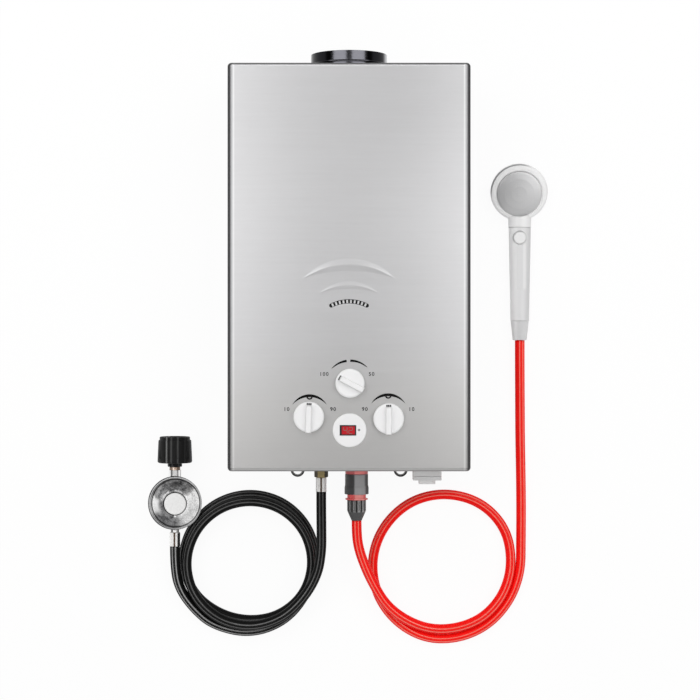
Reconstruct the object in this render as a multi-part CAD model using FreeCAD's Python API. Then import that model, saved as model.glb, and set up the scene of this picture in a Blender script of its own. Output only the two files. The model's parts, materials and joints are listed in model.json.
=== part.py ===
"""Portable propane water heater with its gas hose, regulator, shower hose and handset.

The set lies on its back.  Origin: centre of the casing's rear face.  +Z points out of the
front cover, +Y towards the flue collar, +X to the right as seen from the front.  Millimetres.
Everything loose, that is the hoses, the regulator and the handset, rests on the plane z = 0.
"""
import FreeCAD, Part
import math
import os

V = FreeCAD.Vector
XP, YP, ZP, ZN = V(1, 0, 0), V(0, 1, 0), V(0, 0, 1), V(0, 0, -1)

# ------------------------------------------------------------------ clearances
RUN = 0.3              # between a moving piece and its neighbour
FIT = 0.1              # between two fixed pieces, one inside the other

# ------------------------------------------------------------------ casing
BODY_W, BODY_H, BODY_D = 310.0, 521.0, 165.0
TOP_Y, BASE_Y = BODY_H / 2, -BODY_H / 2
SHEET = 0.8            # front cover
COVER_REAR = 2.0       # the cover's rear edge stands this far off the wall
COVER_CORNER_R = 5.0
COVER_FRONT_R = 4.5
NOTCH_ROOM, NOTCH_SOFT = 1.0, 2.0    # notches in the cover round what passes through it
PLATE_T = 1.2          # back plate
PLATE_RIM = 18.0       # depth of the tray that the cover slides over
PLATE_GAP = 0.5        # rim to cover, each side
BRACKET_W, BRACKET_FOOT = 24.0, 14.0    # sheet brackets on the back plate
TAB_X = 70.0           # wall tabs
TAB_R = 9.5
TAB_REACH = 17.7       # tab end beyond the casing
TAB_HOLE_R = 6.0
SCREW_Y = (BASE_Y + 60.5, 0.0, TOP_Y - 60.5)
SCREW_Z = 10.0
SCREW_SHANK_R, SCREW_HEAD_R, SCREW_HEAD_T = 1.7, 3.4, 1.6

# side air slots
SLOT_COUNT, SLOT_PITCH, SLOT_W, SLOT_L = 9, 9.0, 3.5, 46.0
SLOT_Y0, SLOT_Z = BASE_Y + 75.5, 62.0

# raised crescents on the front: half span, y of the tips, y of the outer and inner edge
CRESCENTS = ((58.6, -14.7, 10.9, -5.0), (38.4, -33.8, -18.6, -28.0))
CRESCENT_RISE = 0.11      # height of the crest as a share of the crescent's width
CRESCENT_SLOPE = 0.46     # width of each of its two slopes, as the same share
CRESCENT_RUNOUT = 0.30    # share of the half span over which the crest runs out

# arched sight window
ARCH_CY, ARCH_R = -94.9, 51.0
ARCH_HALF_W, ARCH_HALF_ANGLE = 2.7, 26.3
GRILLE_T, GRILLE_MARGIN = 0.6, 3.0
GRILLE_SLOTS, GRILLE_SLOT_W, GRILLE_SLOT_HALF, GRILLE_PITCH = 10, 2.3, 2.1, 5.36
GLASS_T = 2.0

# ------------------------------------------------------------------ controls
FACE = BODY_D
GAS_XY, WATER_XY, SEASON_XY = (-51.2, BASE_Y + 69.6), (50.3, BASE_Y + 67.4), (1.2, BASE_Y + 112.4)
KNOB_R, SEASON_R = 19.5, 18.5
KNOB_LIFT = 0.8        # underside of a knob above the cover
KNOB_DISC, KNOB_GRIP = 9.5, 6.5
GRIP_W, GRIP_HEAD, GRIP_TAIL = 6.8, 4.2, 0.8
KNOB_WALL, HUB_R = 2.0, 6.0
SPINDLE_R, SPINDLE_FLAT = 3.0, 2.2
SPINDLE_HOLE_R = 5.0
SPINDLE_IN_KNOB = 8.0
SEASON_POINTER = 62.0

DISPLAY_XY = (0.6, BASE_Y + 52.5)
BEZEL_R, BEZEL_T, BEZEL_SPIGOT_R, BEZEL_WALL = 21.6, 3.0, 17.5, 1.2
WINDOW_DX, WINDOW_W, WINDOW_H = -2.0, 21.0, 13.4
LENS_GAP, LENS_T = 0.25, 1.2
BOARD_W, BOARD_H, BOARD_T, BOARD_Z = 37.0, 25.0, 1.6, 150.0

# ------------------------------------------------------------------ flue and exchanger
FLUE_Z = 82.5
FLUE_R, FLUE_WALL, FLUE_TOP = 50.0, 1.0, TOP_Y + 21.0
FLUE_BOTTOM = TOP_Y - 14.5
FLUE_BEAD = 1.2
EX_W, EX_D = 196.0, 110.0
FIRE_Y0, FIRE_Y1 = 20.0, 150.0
FIN_Y1 = 186.0
HOOD_Y1 = TOP_Y - 22.5
COPPER_T = 1.0
FINS, FIN_T = 15, 0.8
TUBE_R = 7.0
TUBE_Y = 168.0
TUBE_Z = (45.0, 82.5, 120.0)
TUBE_REACH = 104.0
PIPE_R = 6.0
PIPE_OUT = 25.0        # how far the pipes run beside the exchanger's tubes
FEED_Z = 70.0          # height of the cold pipe over the water valve
TUBE_T = 1.0

# ------------------------------------------------------------------ burner
BLADES, BLADE_PITCH, BLADE_W = 10, 18.6, 12.0
RACK_Y0 = -20.0
BLADE_T, BLADE_TUBE_R, BLADE_DECK_Y, BLADE_RISER = 0.8, 10.0, -8.0, 32.0
MOUTH_Z, MOUTH_Y, MOUTH_R = 122.0, -38.0, 4.5
BAR_Z0, BAR_Z1, BAR_Y0, BAR_Y1 = 128.0, 142.0, -49.0, -29.0
NOZZLE_R, NOZZLE_L = 2.4, 5.0

# ------------------------------------------------------------------ valves
GAS_BOX = (-78.0, -24.0, BASE_Y + 38.5, BASE_Y + 130.5, 40.0, 112.0)
SEASON_ARM = (-24.0, 16.0, BASE_Y + 98.5, BASE_Y + 126.5, 70.0, 112.0)
WATER_BOX = (30.0, 76.0, BASE_Y + 30.5, BASE_Y + 100.5, 20.0, 112.0)
BONNET_R, BONNET_H = 12.0, 12.0
COIL_L = 32.0          # the gas solenoid
SPARK_X = (-BODY_W / 2 + 7.0, -BODY_W / 2 + 55.0)
SPARK_Y, SPARK_T = (BASE_Y + 54.5, BASE_Y + 136.5), 34.0
ROD_Y, ROD_Z = BASE_Y + 60.5, 88.0
ROD_R = 3.0
CHAMBER_R, CHAMBER_WALL = 28.0, 6.0
CHAMBER_X = (-2.0, 12.5, 14.0, 30.0)   # cover, diaphragm, chamber flange, valve

# ------------------------------------------------------------------ connections under the casing
PORT_Z = 48.0
NECK_HEX_LOW, NECK_HEX_TOP = BASE_Y + 6.0, BASE_Y + 14.5
GAS_IN_X = -37.2
GAS_STUB_R, GAS_STUB_END = 6.4, BASE_Y - 10.5
GAS_NUT_AF, GAS_NUT_TOP, GAS_NUT_END = 16.0, BASE_Y - 1.5, BASE_Y - 15.0
HOT_X = 10.0
HOT_R, HOT_TOP, HOT_END = 10.2, BASE_Y + 36.5, BASE_Y - 5.5
COLLAR_R, COLLAR_TOP, COLLAR_END = 15.15, BASE_Y - 0.5, BASE_Y - 10.4
SPIGOT_R, SPIGOT_END, SPIGOT_BORE = 8.0, BASE_Y - 31.5, 5.0
SEAL_GROOVE, SEAL_GROOVE_W, SEAL_GROOVE_D = BASE_Y - 19.5, 2.4, 0.9
CORE_R, CORE_END = 12.5, BASE_Y - 44.8
CORE_FLANGE_R, CORE_FLANGE_T = 15.0, 1.8
SLEEVE_R, SLEEVE_FLARE_R, SLEEVE_END = 15.35, 16.1, BASE_Y - 37.5
SLEEVE_STEP = 14.0     # length of the sleeve's wider end with its slope
BARB_R, BARB_LIP = 5.0, 0.4
NUT_R, NUT_STRAIGHT_END, NUT_END, NUT_TIP_R = 12.6, BASE_Y - 59.5, BASE_Y - 72.5, 6.9
NUT_RIBS, RIB_DEPTH, RIB_GROOVE_R = 24, 0.9, 1.1
COLD_X, COLD_Z, COLD_R, COLD_END = 44.0, 30.0, 10.5, BASE_Y - 7.0
COLD_BORE = 7.5
DRAIN_X, DRAIN_Z, DRAIN_R, DRAIN_END = 68.0, 54.0, 6.0, BASE_Y - 6.5

# ------------------------------------------------------------------ battery case
CASE_X, CASE_W, CASE_SOFT, CASE_CROWN = 103.8, 37.5, 2.0, 4.0
CASE_TOP, CASE_END = BASE_Y + 124.5, BASE_Y - 12.7
CELL_R, CELL_L, CELL_ROOM = 16.6, 61.5, 0.5
LID_END = BASE_Y - 18.2
LID_TAB_W, LID_TAB_H, LID_TAB_END = 22.0, 18.0, BASE_Y - 23.7
HINGE_R, HINGE_DROP, HINGE_LIFT, KNUCKLE_R = 1.2, 1.0, 1.6, 2.3
LUG_DX, LUG_W, LUG_R, LUG_FOOT, LUG_BITE = 11.5, 4.0, 3.1, 6.0, 0.5
HINGE_ARM = 4.0        # how far the knuckle's arm reaches into the lid

# ------------------------------------------------------------------ hoses
HOSE_R = 6.6
GAS_HOSE_START = V(GAS_IN_X, BASE_Y - 34.2, PORT_Z)
FERRULE_R, FERRULE_BARB, CRIMP = 7.15, 4.4, 0.12
WATER_HOSE_TOP = BASE_Y - 72.9

# ------------------------------------------------------------------ regulator
REG_X, REG_Z = -234.8, 23.5
REG_Y = BASE_Y - 50.9
REG_TILT = 6.0
REG_R = 36.0
REG_BOWL_R, REG_BASE_R = 31.5, 15.0
REG_BASE_Z, REG_BOWL_Z, REG_RIM_Z = 1.6, 23.0, 29.6
REG_RIM_T, REG_LIP = 3.2, 2.6
REG_DOME_R, REG_DOME_Z = 17.5, 44.0
CAP_R, CAP_T = 14.5, 5.0
VENT_R, VENT_DIST = 1.9, 18.5
STEM_AF, STEM_TOP, STEM_BORE = 14.6, REG_Y + 44.0, 5.0
QCC_TOP, QCC_RING_END, QCC_END, QCC_BOSS_END = REG_Y + 88.9, REG_Y + 84.8, REG_Y + 53.6, REG_Y + 48.5
QCC_RING_R, QCC_R0, QCC_R1, QCC_BOSS_R = 20.4, 22.1, 23.3, 9.7
QCC_BORE_R, QCC_BORE_END = 16.6, REG_Y + 64.4
QCC_GRIPS, QCC_GROOVE_R, QCC_GROOVE_IN = 10, 4.0, 1.5
NIPPLE_R, NIPPLE_NOSE_R, NIPPLE_COLLAR_R, NIPPLE_TIP = 5.95, 7.6, 7.2, REG_Y + 83.9
NIPPLE_FLANGE_R, NIPPLE_FLANGE_T = 13.0, 2.4
OUTLET_R, OUTLET_END = 5.6, REG_Y - 39.9

# ------------------------------------------------------------------ handset
HAND_X, HAND_Z = 230.9, 12.5
HAND_HALF, HAND_DEEP, HAND_TOP = 12.6, 12.15, 12.2   # handle at its foot, and its height over its axis
HANDLE_END = BASE_Y + 194.2
HANDLE_MID, HANDLE_TOP, NECK_END = HANDLE_END + 66.3, HANDLE_END + 106.3, HANDLE_END + 126.3
NECK_TOP = HANDLE_END + 151.3
HEAD_X, HEAD_Y, HEAD_Z = 229.4, HANDLE_END + 174.3, 16.4
HEAD_TILT = 12.0
HEAD_R, HEAD_RIM, FACE_R = 38.6, 9.0, 30.4
FACE_SEAT, FACE_DROP, FACE_LIP = 6.6, 1.9, 1.5   # the face sits a little low in the ring
BUTTON_DX, BUTTON_Y, BUTTON_R = -0.9, HANDLE_END + 111.7, 8.3
BUTTON_T, BUTTON_PROUD, BUTTON_TRAVEL, BUTTON_DISH = 6.0, 1.0, 2.5, 1.4
GRIP_PANEL = (HANDLE_END + 102.3, HANDLE_END + 41.3, 7.6)
HAND_BARB_R, HAND_BARB_END = 4.8, HANDLE_END - 26.3
CONE_TOP, CONE_END, CONE_R0, CONE_R1 = HANDLE_END - 0.3, HANDLE_END - 26.0, 12.2, 9.3


# ================================================================== helpers
def box(x0, x1, y0, y1, z0, z1):
    return Part.makeBox(x1 - x0, y1 - y0, z1 - z0, V(x0, y0, z0))


def soft_box(x0, x1, y0, y1, z0, z1, r, along=ZP):
    """A box whose edges parallel to one direction are rounded."""
    b = box(x0, x1, y0, y1, z0, z1)
    edges = [e for e in b.Edges if abs(e.tangentAt(e.FirstParameter).dot(along)) > 0.99]
    return b.makeFillet(r, edges)


def rod(x, y0, z, r, y1):
    """Cylinder along Y."""
    return Part.makeCylinder(r, abs(y1 - y0), V(x, min(y0, y1), z), YP)


def pin(x, y, z0, r, z1):
    """Cylinder along Z."""
    return Part.makeCylinder(r, z1 - z0, V(x, y, z0), ZP)


def bar_x(x0, y, z, r, x1):
    """Cylinder along X."""
    return Part.makeCylinder(r, x1 - x0, V(x0, y, z), XP)


def turned(profile, origin, axis):
    """Revolve a closed profile of (radius, height) points about an axis through origin."""
    pts = [V(r, 0, h) for r, h in profile]
    face = Part.Face(Part.makePolygon(pts + [pts[0]]))
    solid = face.revolve(V(0, 0, 0), ZP, 360)
    solid.Placement = FreeCAD.Placement(origin, FreeCAD.Rotation(ZP, axis))
    return solid


def turned_y(profile, x, z):
    """Revolve (radius, y) points about the line parallel to Y through x, z."""
    pts = [V(r, y, 0) for r, y in profile]
    face = Part.Face(Part.makePolygon(pts + [pts[0]]))
    solid = face.revolve(V(0, 0, 0), YP, 360)
    solid.translate(V(x, 0, z))
    return solid


def hexagon(af, x, y0, z, y1):
    """Hexagonal prism along Y, two flats facing up and down."""
    rad = af / math.sqrt(3)
    pts = [V(x + rad * math.cos(math.radians(60 * i)), min(y0, y1),
             z + rad * math.sin(math.radians(60 * i))) for i in range(7)]
    return Part.Face(Part.makePolygon(pts)).extrude(V(0, abs(y1 - y0), 0))


def round_edges(solid, r, keep):
    """Fillet the edges that keep(edge) picks."""
    return solid.makeFillet(r, [e for e in solid.Edges if keep(e)])


def at_height(z):
    """Edge test: the whole edge lies at height z."""
    return lambda e: abs(e.BoundBox.ZMin - z) < 1e-4 and abs(e.BoundBox.ZMax - z) < 1e-4


def extrude_yz(points, x0, x1):
    """Extrude a closed outline of (z, y) points along X."""
    pts = [V(x0, y, z) for z, y in points]
    return Part.Face(Part.makePolygon(pts + [pts[0]])).extrude(V(x1 - x0, 0, 0))


def hose_path(points):
    """Straight runs joined by tangent arcs, each as large as its two runs allow."""
    edges, radii, start = [], [], points[0]
    for before, corner, after in zip(points, points[1:], points[2:]):
        back, ahead = before - corner, after - corner
        trim = 0.45 * min(back.Length, ahead.Length)
        back.normalize()
        ahead.normalize()
        half = (math.pi - back.getAngle(ahead)) / 2
        radius = trim / math.tan(half)
        a, b = corner + back * trim, corner + ahead * trim
        inward = back + ahead
        inward.normalize()
        middle = corner + inward * (radius / math.cos(half) - radius)
        edges += [Part.LineSegment(start, a).toShape(), Part.Arc(a, middle, b).toShape()]
        radii.append(radius)
        start = b
    edges.append(Part.LineSegment(start, points[-1]).toShape())
    return Part.Wire(edges), radii


def hose(points, r, name=None):
    path, radii = hose_path(points)
    direction = points[1] - points[0]
    ring = Part.Wire(Part.makeCircle(r, points[0], direction))
    solid = path.makePipeShell([ring], True, False)
    if name:
        ideal = math.pi * r * r * path.Length
        print("%s: length %.0f mm, volume ratio %.4f, arc radii %s"
              % (name, path.Length, solid.Volume / ideal, " ".join("%.0f" % q for q in radii)))
    return solid


def swept_tube(path, r, direction):
    """Copper tube with wall TUBE_T along a path."""
    start = path.Vertexes[0].Point
    outer, inner = [path.makePipeShell([Part.Wire(Part.makeCircle(q, start, direction))], True, False)
                    for q in (r, r - TUBE_T)]
    return outer.cut(inner)


def pipe(points, r, bend):
    """Rigid pipe: straight runs with bends of one radius."""
    edges, start = [], points[0]
    for before, corner, after in zip(points, points[1:], points[2:]):
        back, ahead = before - corner, after - corner
        back.normalize()
        ahead.normalize()
        half = (math.pi - back.getAngle(ahead)) / 2
        trim = bend * math.tan(half)
        a, b = corner + back * trim, corner + ahead * trim
        inward = back + ahead
        inward.normalize()
        middle = corner + inward * (bend / math.cos(half) - bend)
        edges += [Part.LineSegment(start, a).toShape(), Part.Arc(a, middle, b).toShape()]
        start = b
    edges.append(Part.LineSegment(start, points[-1]).toShape())
    return swept_tube(Part.Wire(edges), r, points[1] - points[0])


def about_stem(shape):
    """The regulator lies tilted about the line of its stems."""
    shape.rotate(V(REG_X, 0, REG_Z), YP, REG_TILT)
    return shape


def group(solids):
    return Part.makeCompound(solids)


# ================================================================== casing
def casing_block(inset, z_front):
    """Rounded block of the cover's outline, shrunk by inset all round."""
    w, h = BODY_W - 2 * inset, BODY_H - 2 * inset
    b = soft_box(-w / 2, w / 2, -h / 2, h / 2, COVER_REAR, z_front, COVER_CORNER_R - inset)
    return round_edges(b, COVER_FRONT_R - inset, at_height(z_front))


def arc_y(half, tip_y, mid_y, x):
    """Where an arc from the tips at (+-half, tip_y) over (0, mid_y) stands at x."""
    rise = mid_y - tip_y
    r = (half ** 2 + rise ** 2) / (2 * rise)
    return mid_y - r + math.sqrt(r ** 2 - x ** 2)


def crescent(half, tip_y, outer_y, inner_y, drop):
    """Raised crescent: two long slopes that meet in a narrow crest and run out at the tips."""
    width = outer_y - inner_y

    def outline(share, z):
        reach, inset = half * (1 - share * CRESCENT_RUNOUT), share * CRESCENT_SLOPE * width
        tip = arc_y(half, tip_y, (outer_y + inner_y) / 2, reach)
        left, right = V(-reach, tip, z), V(reach, tip, z)
        top = Part.Arc(left, V(0, outer_y - inset, z), right).toShape()
        low = Part.Arc(right, V(0, inner_y + inset, z), left).toShape()
        return Part.Wire([top, low])
    crest = FACE + CRESCENT_RISE * width
    body = Part.makeLoft([outline(0, FACE - SHEET), outline(0, FACE), outline(1, crest)], True, True)
    body.translate(V(0, 0, -drop))
    return body


def arch_band(half_w, half_angle, z0, z1):
    """Band round the arch's centreline with round ends."""
    def at(r, deg):
        a = math.radians(deg)
        return V(r * math.sin(a), ARCH_CY + r * math.cos(a), z0)
    ro, ri = ARCH_R + half_w, ARCH_R - half_w
    over = half_angle + math.degrees(half_w / ARCH_R)
    wire = Part.Wire([
        Part.Arc(at(ro, -half_angle), at(ro, 0), at(ro, half_angle)).toShape(),
        Part.Arc(at(ro, half_angle), at(ARCH_R, over), at(ri, half_angle)).toShape(),
        Part.Arc(at(ri, half_angle), at(ri, 0), at(ri, -half_angle)).toShape(),
        Part.Arc(at(ri, -half_angle), at(ARCH_R, -over), at(ro, -half_angle)).toShape()])
    return Part.Face(wire).extrude(V(0, 0, z1 - z0))


def cover_notch(x, y, half, z):
    """Notch in the cover's top or bottom wall, open to the rear, so that the cover lifts off forwards."""
    return soft_box(x - half, x + half, y - 3, y + 3, -2 * NOTCH_SOFT, z + half, NOTCH_SOFT, YP)


def front_cover():
    shell = casing_block(0, FACE).cut(casing_block(SHEET, FACE - SHEET))
    shell = shell.cut(box(-BODY_W, BODY_W, -BODY_H, BODY_H, 0, COVER_REAR + 1e-3))
    shell = shell.fuse([crescent(*c, 0) for c in CRESCENTS])
    shell = shell.cut(group([crescent(*c, SHEET) for c in CRESCENTS]))
    low, high = FACE - 3, FACE + 3
    cuts = [arch_band(ARCH_HALF_W, ARCH_HALF_ANGLE, low, high)]
    for x, y in (GAS_XY, WATER_XY, SEASON_XY):
        cuts.append(pin(x, y, low, SPINDLE_HOLE_R, high))
    cuts.append(pin(*DISPLAY_XY, low, BEZEL_SPIGOT_R + FIT, high))
    cuts.append(cover_notch(0, TOP_Y, FLUE_R + NOTCH_ROOM, FLUE_Z))
    for x, z, r in ((GAS_IN_X, PORT_Z, GAS_NUT_AF * 0.6), (HOT_X, PORT_Z, HOT_R),
                    (COLD_X, COLD_Z, COLD_R), (DRAIN_X, DRAIN_Z, DRAIN_R), (CASE_X, PORT_Z, CASE_W / 2)):
        cuts.append(cover_notch(x, BASE_Y, r + NOTCH_ROOM, z))
    side = BODY_W / 2 + 3
    for i in range(SLOT_COUNT):
        y = SLOT_Y0 + i * SLOT_PITCH
        cuts.append(box(-side, side, y, y + SLOT_W, SLOT_Z, SLOT_Z + SLOT_L))
    for y in SCREW_Y:
        cuts.append(bar_x(-side, y, SCREW_Z, SCREW_SHANK_R + FIT, side))
    return shell.cut(group(cuts))


def back_plate():
    gap = SHEET + PLATE_GAP
    w, h = BODY_W / 2 - gap, BODY_H / 2 - gap
    r = COVER_CORNER_R - SHEET
    tray = soft_box(-w, w, -h, h, 0, PLATE_RIM, r)
    inner = soft_box(-w + PLATE_T, w - PLATE_T, -h + PLATE_T, h - PLATE_T,
                     PLATE_T, PLATE_RIM + 1, r - PLATE_T)
    tray = tray.cut(inner)
    tab_y = BODY_H / 2 + TAB_REACH - TAB_R
    for x in (-TAB_X, TAB_X):
        for side in (-1, 1):
            end = side * tab_y
            root = side * (h - 2)
            strap = box(x - TAB_R, x + TAB_R, min(end, root), max(end, root), 0, PLATE_T)
            tray = tray.fuse([strap, pin(x, end, 0, TAB_R, PLATE_T)])
            tray = tray.cut(pin(x, end, -1, TAB_HOLE_R, PLATE_T + 1))
    cuts = [bar_x(-w - 3, y, SCREW_Z, SCREW_SHANK_R, w + 3) for y in SCREW_Y]
    cuts.append(rod(COLD_X, -h - 3, COLD_Z, COLD_R + 1, -h + 3))
    return tray.cut(group(cuts)).removeSplitter()


def casing_screws():
    screws = []
    side = BODY_W / 2
    for sign in (-1, 1):
        for y in SCREW_Y:
            head = turned([(0, 0), (SCREW_HEAD_R, 0), (SCREW_HEAD_R, 0.5),
                           (SCREW_HEAD_R * 0.55, SCREW_HEAD_T), (0, SCREW_HEAD_T)],
                          V(sign * side, y, SCREW_Z), V(sign, 0, 0))
            shank = Part.makeCylinder(SCREW_SHANK_R - 0.05, 6, V(sign * side, y, SCREW_Z), V(-sign, 0, 0))
            slot = box(sign * (side + SCREW_HEAD_T / 2) - 1, sign * (side + SCREW_HEAD_T / 2) + 1,
                       y - 0.4, y + 0.4, SCREW_Z - 2.2, SCREW_Z + 2.2)
            slot.translate(V(sign * 1.0, 0, 0))
            screws.append(head.fuse(shank).cut(slot))
    return group(screws)


def sight_grille():
    top = FACE - SHEET
    band = arch_band(ARCH_HALF_W + GRILLE_MARGIN, ARCH_HALF_ANGLE + 2, top - GRILLE_T, top)
    slots = []
    for i in range(GRILLE_SLOTS):
        deg = (i - (GRILLE_SLOTS - 1) / 2) * GRILLE_PITCH
        s = box(-GRILLE_SLOT_W / 2, GRILLE_SLOT_W / 2, ARCH_R - GRILLE_SLOT_HALF, ARCH_R + GRILLE_SLOT_HALF,
                top - 3, top + 3)
        s.rotate(V(0, 0, 0), ZP, -deg)
        s.translate(V(0, ARCH_CY, 0))
        slots.append(s)
    return band.cut(group(slots))


def sight_glass():
    top = FACE - SHEET - GRILLE_T
    return arch_band(ARCH_HALF_W + GRILLE_MARGIN - 0.5, ARCH_HALF_ANGLE + 2, top - GLASS_T, top)


# ================================================================== controls
def knob(xy, r, pointer):
    """Knob with a raised grip bar; pointer is degrees anticlockwise from +Y."""
    z0 = KNOB_LIFT
    z1, z2 = z0 + KNOB_DISC, z0 + KNOB_DISC + KNOB_GRIP
    disc = turned([(0, z0), (r, z0), (r, z1 - 2.2), (r - 0.7, z1 - 0.8), (r - 2.4, z1), (0, z1 - 0.5)],
                  V(0, 0, 0), ZP)
    tail, head = -(r + GRIP_TAIL), r - GRIP_HEAD
    half = GRIP_W / 2
    foot = Part.makePolygon([V(-half - 0.5, tail, z1 - 3), V(half + 0.5, tail, z1 - 3),
                             V(half + 0.5, head + 0.5, z1 - 3), V(-half - 0.5, head + 0.5, z1 - 3),
                             V(-half - 0.5, tail, z1 - 3)])
    top = Part.makePolygon([V(-half + 0.3, tail + 0.6, z2), V(half - 0.3, tail + 0.6, z2),
                            V(half - 0.3, head - 1.2, z2), V(-half + 0.3, head - 1.2, z2),
                            V(-half + 0.3, tail + 0.6, z2)])
    grip = Part.makeLoft([foot, top], True, True)
    grip = round_edges(grip, 0.8, at_height(z2))
    hollow = turned([(HUB_R, z0 - 1), (r - KNOB_WALL, z0 - 1), (r - KNOB_WALL, z1 - 4), (HUB_R, z1 - 4)],
                    V(0, 0, 0), ZP)
    body = disc.fuse(grip).cut(hollow)
    bore = spindle_section(SPINDLE_R + FIT / 2, SPINDLE_FLAT + FIT / 2, z0 - 1, z0 + SPINDLE_IN_KNOB)
    body = body.cut(bore)
    body.rotate(V(0, 0, 0), ZP, pointer)
    body.translate(V(xy[0], xy[1], FACE))
    return body


def spindle_section(r, flat, z0, z1):
    """D-shaped length of shaft on the Z axis."""
    return pin(0, 0, z0, r, z1).cut(box(flat, r + 2, -r - 1, r + 1, z0 - 1, z1 + 1))


def spindle(xy, z0, pointer):
    top = KNOB_LIFT + SPINDLE_IN_KNOB - 0.2
    flat_from = KNOB_LIFT - 1
    body = pin(0, 0, z0 - FACE, SPINDLE_R, flat_from)
    body = body.fuse(spindle_section(SPINDLE_R, SPINDLE_FLAT, flat_from, top))
    body.rotate(V(0, 0, 0), ZP, pointer)
    body.translate(V(xy[0], xy[1], FACE))
    return body


def display_bezel():
    x, y = DISPLAY_XY
    ring = turned([(0, 0), (BEZEL_R, 0), (BEZEL_R, BEZEL_T - 1.4), (BEZEL_R - 0.5, BEZEL_T - 0.4),
                   (BEZEL_R - 1.6, BEZEL_T), (0, BEZEL_T)], V(x, y, FACE), ZP)
    spigot = pin(x, y, BOARD_Z + BOARD_T + FIT, BEZEL_SPIGOT_R, FACE)
    hollow = pin(x, y, BOARD_Z, BEZEL_SPIGOT_R - BEZEL_WALL, FACE)
    spigot = spigot.cut(hollow)
    w, h = WINDOW_W / 2, WINDOW_H / 2
    window = box(x + WINDOW_DX - w, x + WINDOW_DX + w, y - h, y + h, FACE - 2, FACE + BEZEL_T + 1)
    return ring.fuse(spigot).cut(window)


def display_lens():
    x, y = DISPLAY_XY
    w, h = WINDOW_W / 2 - LENS_GAP, WINDOW_H / 2 - LENS_GAP
    z1 = FACE + BEZEL_T - 0.6
    lens = box(x + WINDOW_DX - w, x + WINDOW_DX + w, y - h, y + h, z1 - LENS_T, z1)
    return round_edges(lens, 0.4, at_height(z1))


def display_board():
    x, y = DISPLAY_XY
    board = box(x - BOARD_W / 2, x + BOARD_W / 2, y - BOARD_H / 2, y + BOARD_H / 2,
                BOARD_Z, BOARD_Z + BOARD_T)
    top = FACE + BEZEL_T - 0.6 - LENS_T
    w, h = WINDOW_W / 2 - 0.8, WINDOW_H / 2 - 0.8
    digits = box(x + WINDOW_DX - w, x + WINDOW_DX + w, y - h, y + h, BOARD_Z + BOARD_T, top)
    return board.fuse(digits)


# ================================================================== flue, exchanger, burner
def duct(y0, y1, wall):
    """Open rectangular duct round the flame path."""
    w, z0, z1 = EX_W / 2, FLUE_Z - EX_D / 2, FLUE_Z + EX_D / 2
    outer = box(-w, w, y0, y1, z0, z1)
    return outer.cut(box(-w + wall, w - wall, y0 - 1, y1 + 1, z0 + wall, z1 - wall))


def flue_collar():
    r = FLUE_R
    profile = [(r - FLUE_WALL, FLUE_BOTTOM), (r, FLUE_BOTTOM), (r, BODY_H / 2 + 6),
               (r + FLUE_BEAD * 0.6, BODY_H / 2 + 7.5), (r, BODY_H / 2 + 9), (r, FLUE_TOP),
               (r - FLUE_WALL, FLUE_TOP)]
    return turned_y(profile, 0, FLUE_Z)


def flue_hood():
    def section(inset, y, round_end):
        if round_end:
            return Part.Wire(Part.makeCircle(FLUE_R - FLUE_WALL - FIT - inset, V(0, y, FLUE_Z), YP))
        w, d, r = EX_W / 2 - inset, EX_D / 2 - inset, 12.0 - inset
        b = soft_box(-w, w, y, y + 1, FLUE_Z - d, FLUE_Z + d, r, YP)
        face = [f for f in b.Faces if abs(f.CenterOfMass.y - y) < 1e-3][0]
        return face.OuterWire
    wall = SHEET
    outer = Part.makeLoft([section(0, FIN_Y1, False), section(0, HOOD_Y1, True)], True, False)
    inner = Part.makeLoft([section(wall, FIN_Y1, False), section(wall, HOOD_Y1, True)], True, False)
    r = FLUE_R - FLUE_WALL - FIT
    outer = outer.fuse(rod(0, HOOD_Y1, FLUE_Z, r, BODY_H / 2))
    inner = inner.fuse(rod(0, HOOD_Y1, FLUE_Z, r - wall, BODY_H / 2 + 1))
    return outer.cut(inner)


def combustion_jacket():
    shell = duct(FIRE_Y0, FIRE_Y1, COPPER_T)
    front = FLUE_Z + EX_D / 2
    holes = [pin(x, FIRE_Y0 + 10, front - 4, 3.5 + FIT, front + 4) for x in (-30.0, -6.0)]
    return shell.cut(group(holes))


def fin_block():
    frame = duct(FIRE_Y1, FIN_Y1, COPPER_T)
    inner = EX_W / 2 - COPPER_T
    pitch = 2 * inner / (FINS + 1)
    z0, z1 = FLUE_Z - EX_D / 2 + COPPER_T / 2, FLUE_Z + EX_D / 2 - COPPER_T / 2
    fins = []
    for i in range(FINS):
        x = -inner + (i + 1) * pitch
        fins.append(box(x - FIN_T / 2, x + FIN_T / 2, FIRE_Y1 + 2, FIN_Y1 - 2, z0, z1))
    block = frame.fuse(fins)
    bores = [bar_x(-EX_W, TUBE_Y, z, TUBE_R + FIT, EX_W) for z in TUBE_Z]
    return block.cut(group(bores))


def exchanger_tubes():
    """One serpentine: three passes through the fins and two return bends."""
    a, b, c = TUBE_Z
    e = TUBE_REACH

    def bend(x, z0, z1, side):
        mid, rad = (z0 + z1) / 2, (z1 - z0) / 2
        return Part.Arc(V(x, TUBE_Y, z0), V(x + side * rad, TUBE_Y, mid), V(x, TUBE_Y, z1)).toShape()
    path = Part.Wire([
        Part.LineSegment(V(-e, TUBE_Y, a), V(e, TUBE_Y, a)).toShape(), bend(e, a, b, 1),
        Part.LineSegment(V(e, TUBE_Y, b), V(-e, TUBE_Y, b)).toShape(), bend(-e, b, c, -1),
        Part.LineSegment(V(-e, TUBE_Y, c), V(e, TUBE_Y, c)).toShape()])
    return swept_tube(path, TUBE_R, XP)


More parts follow.
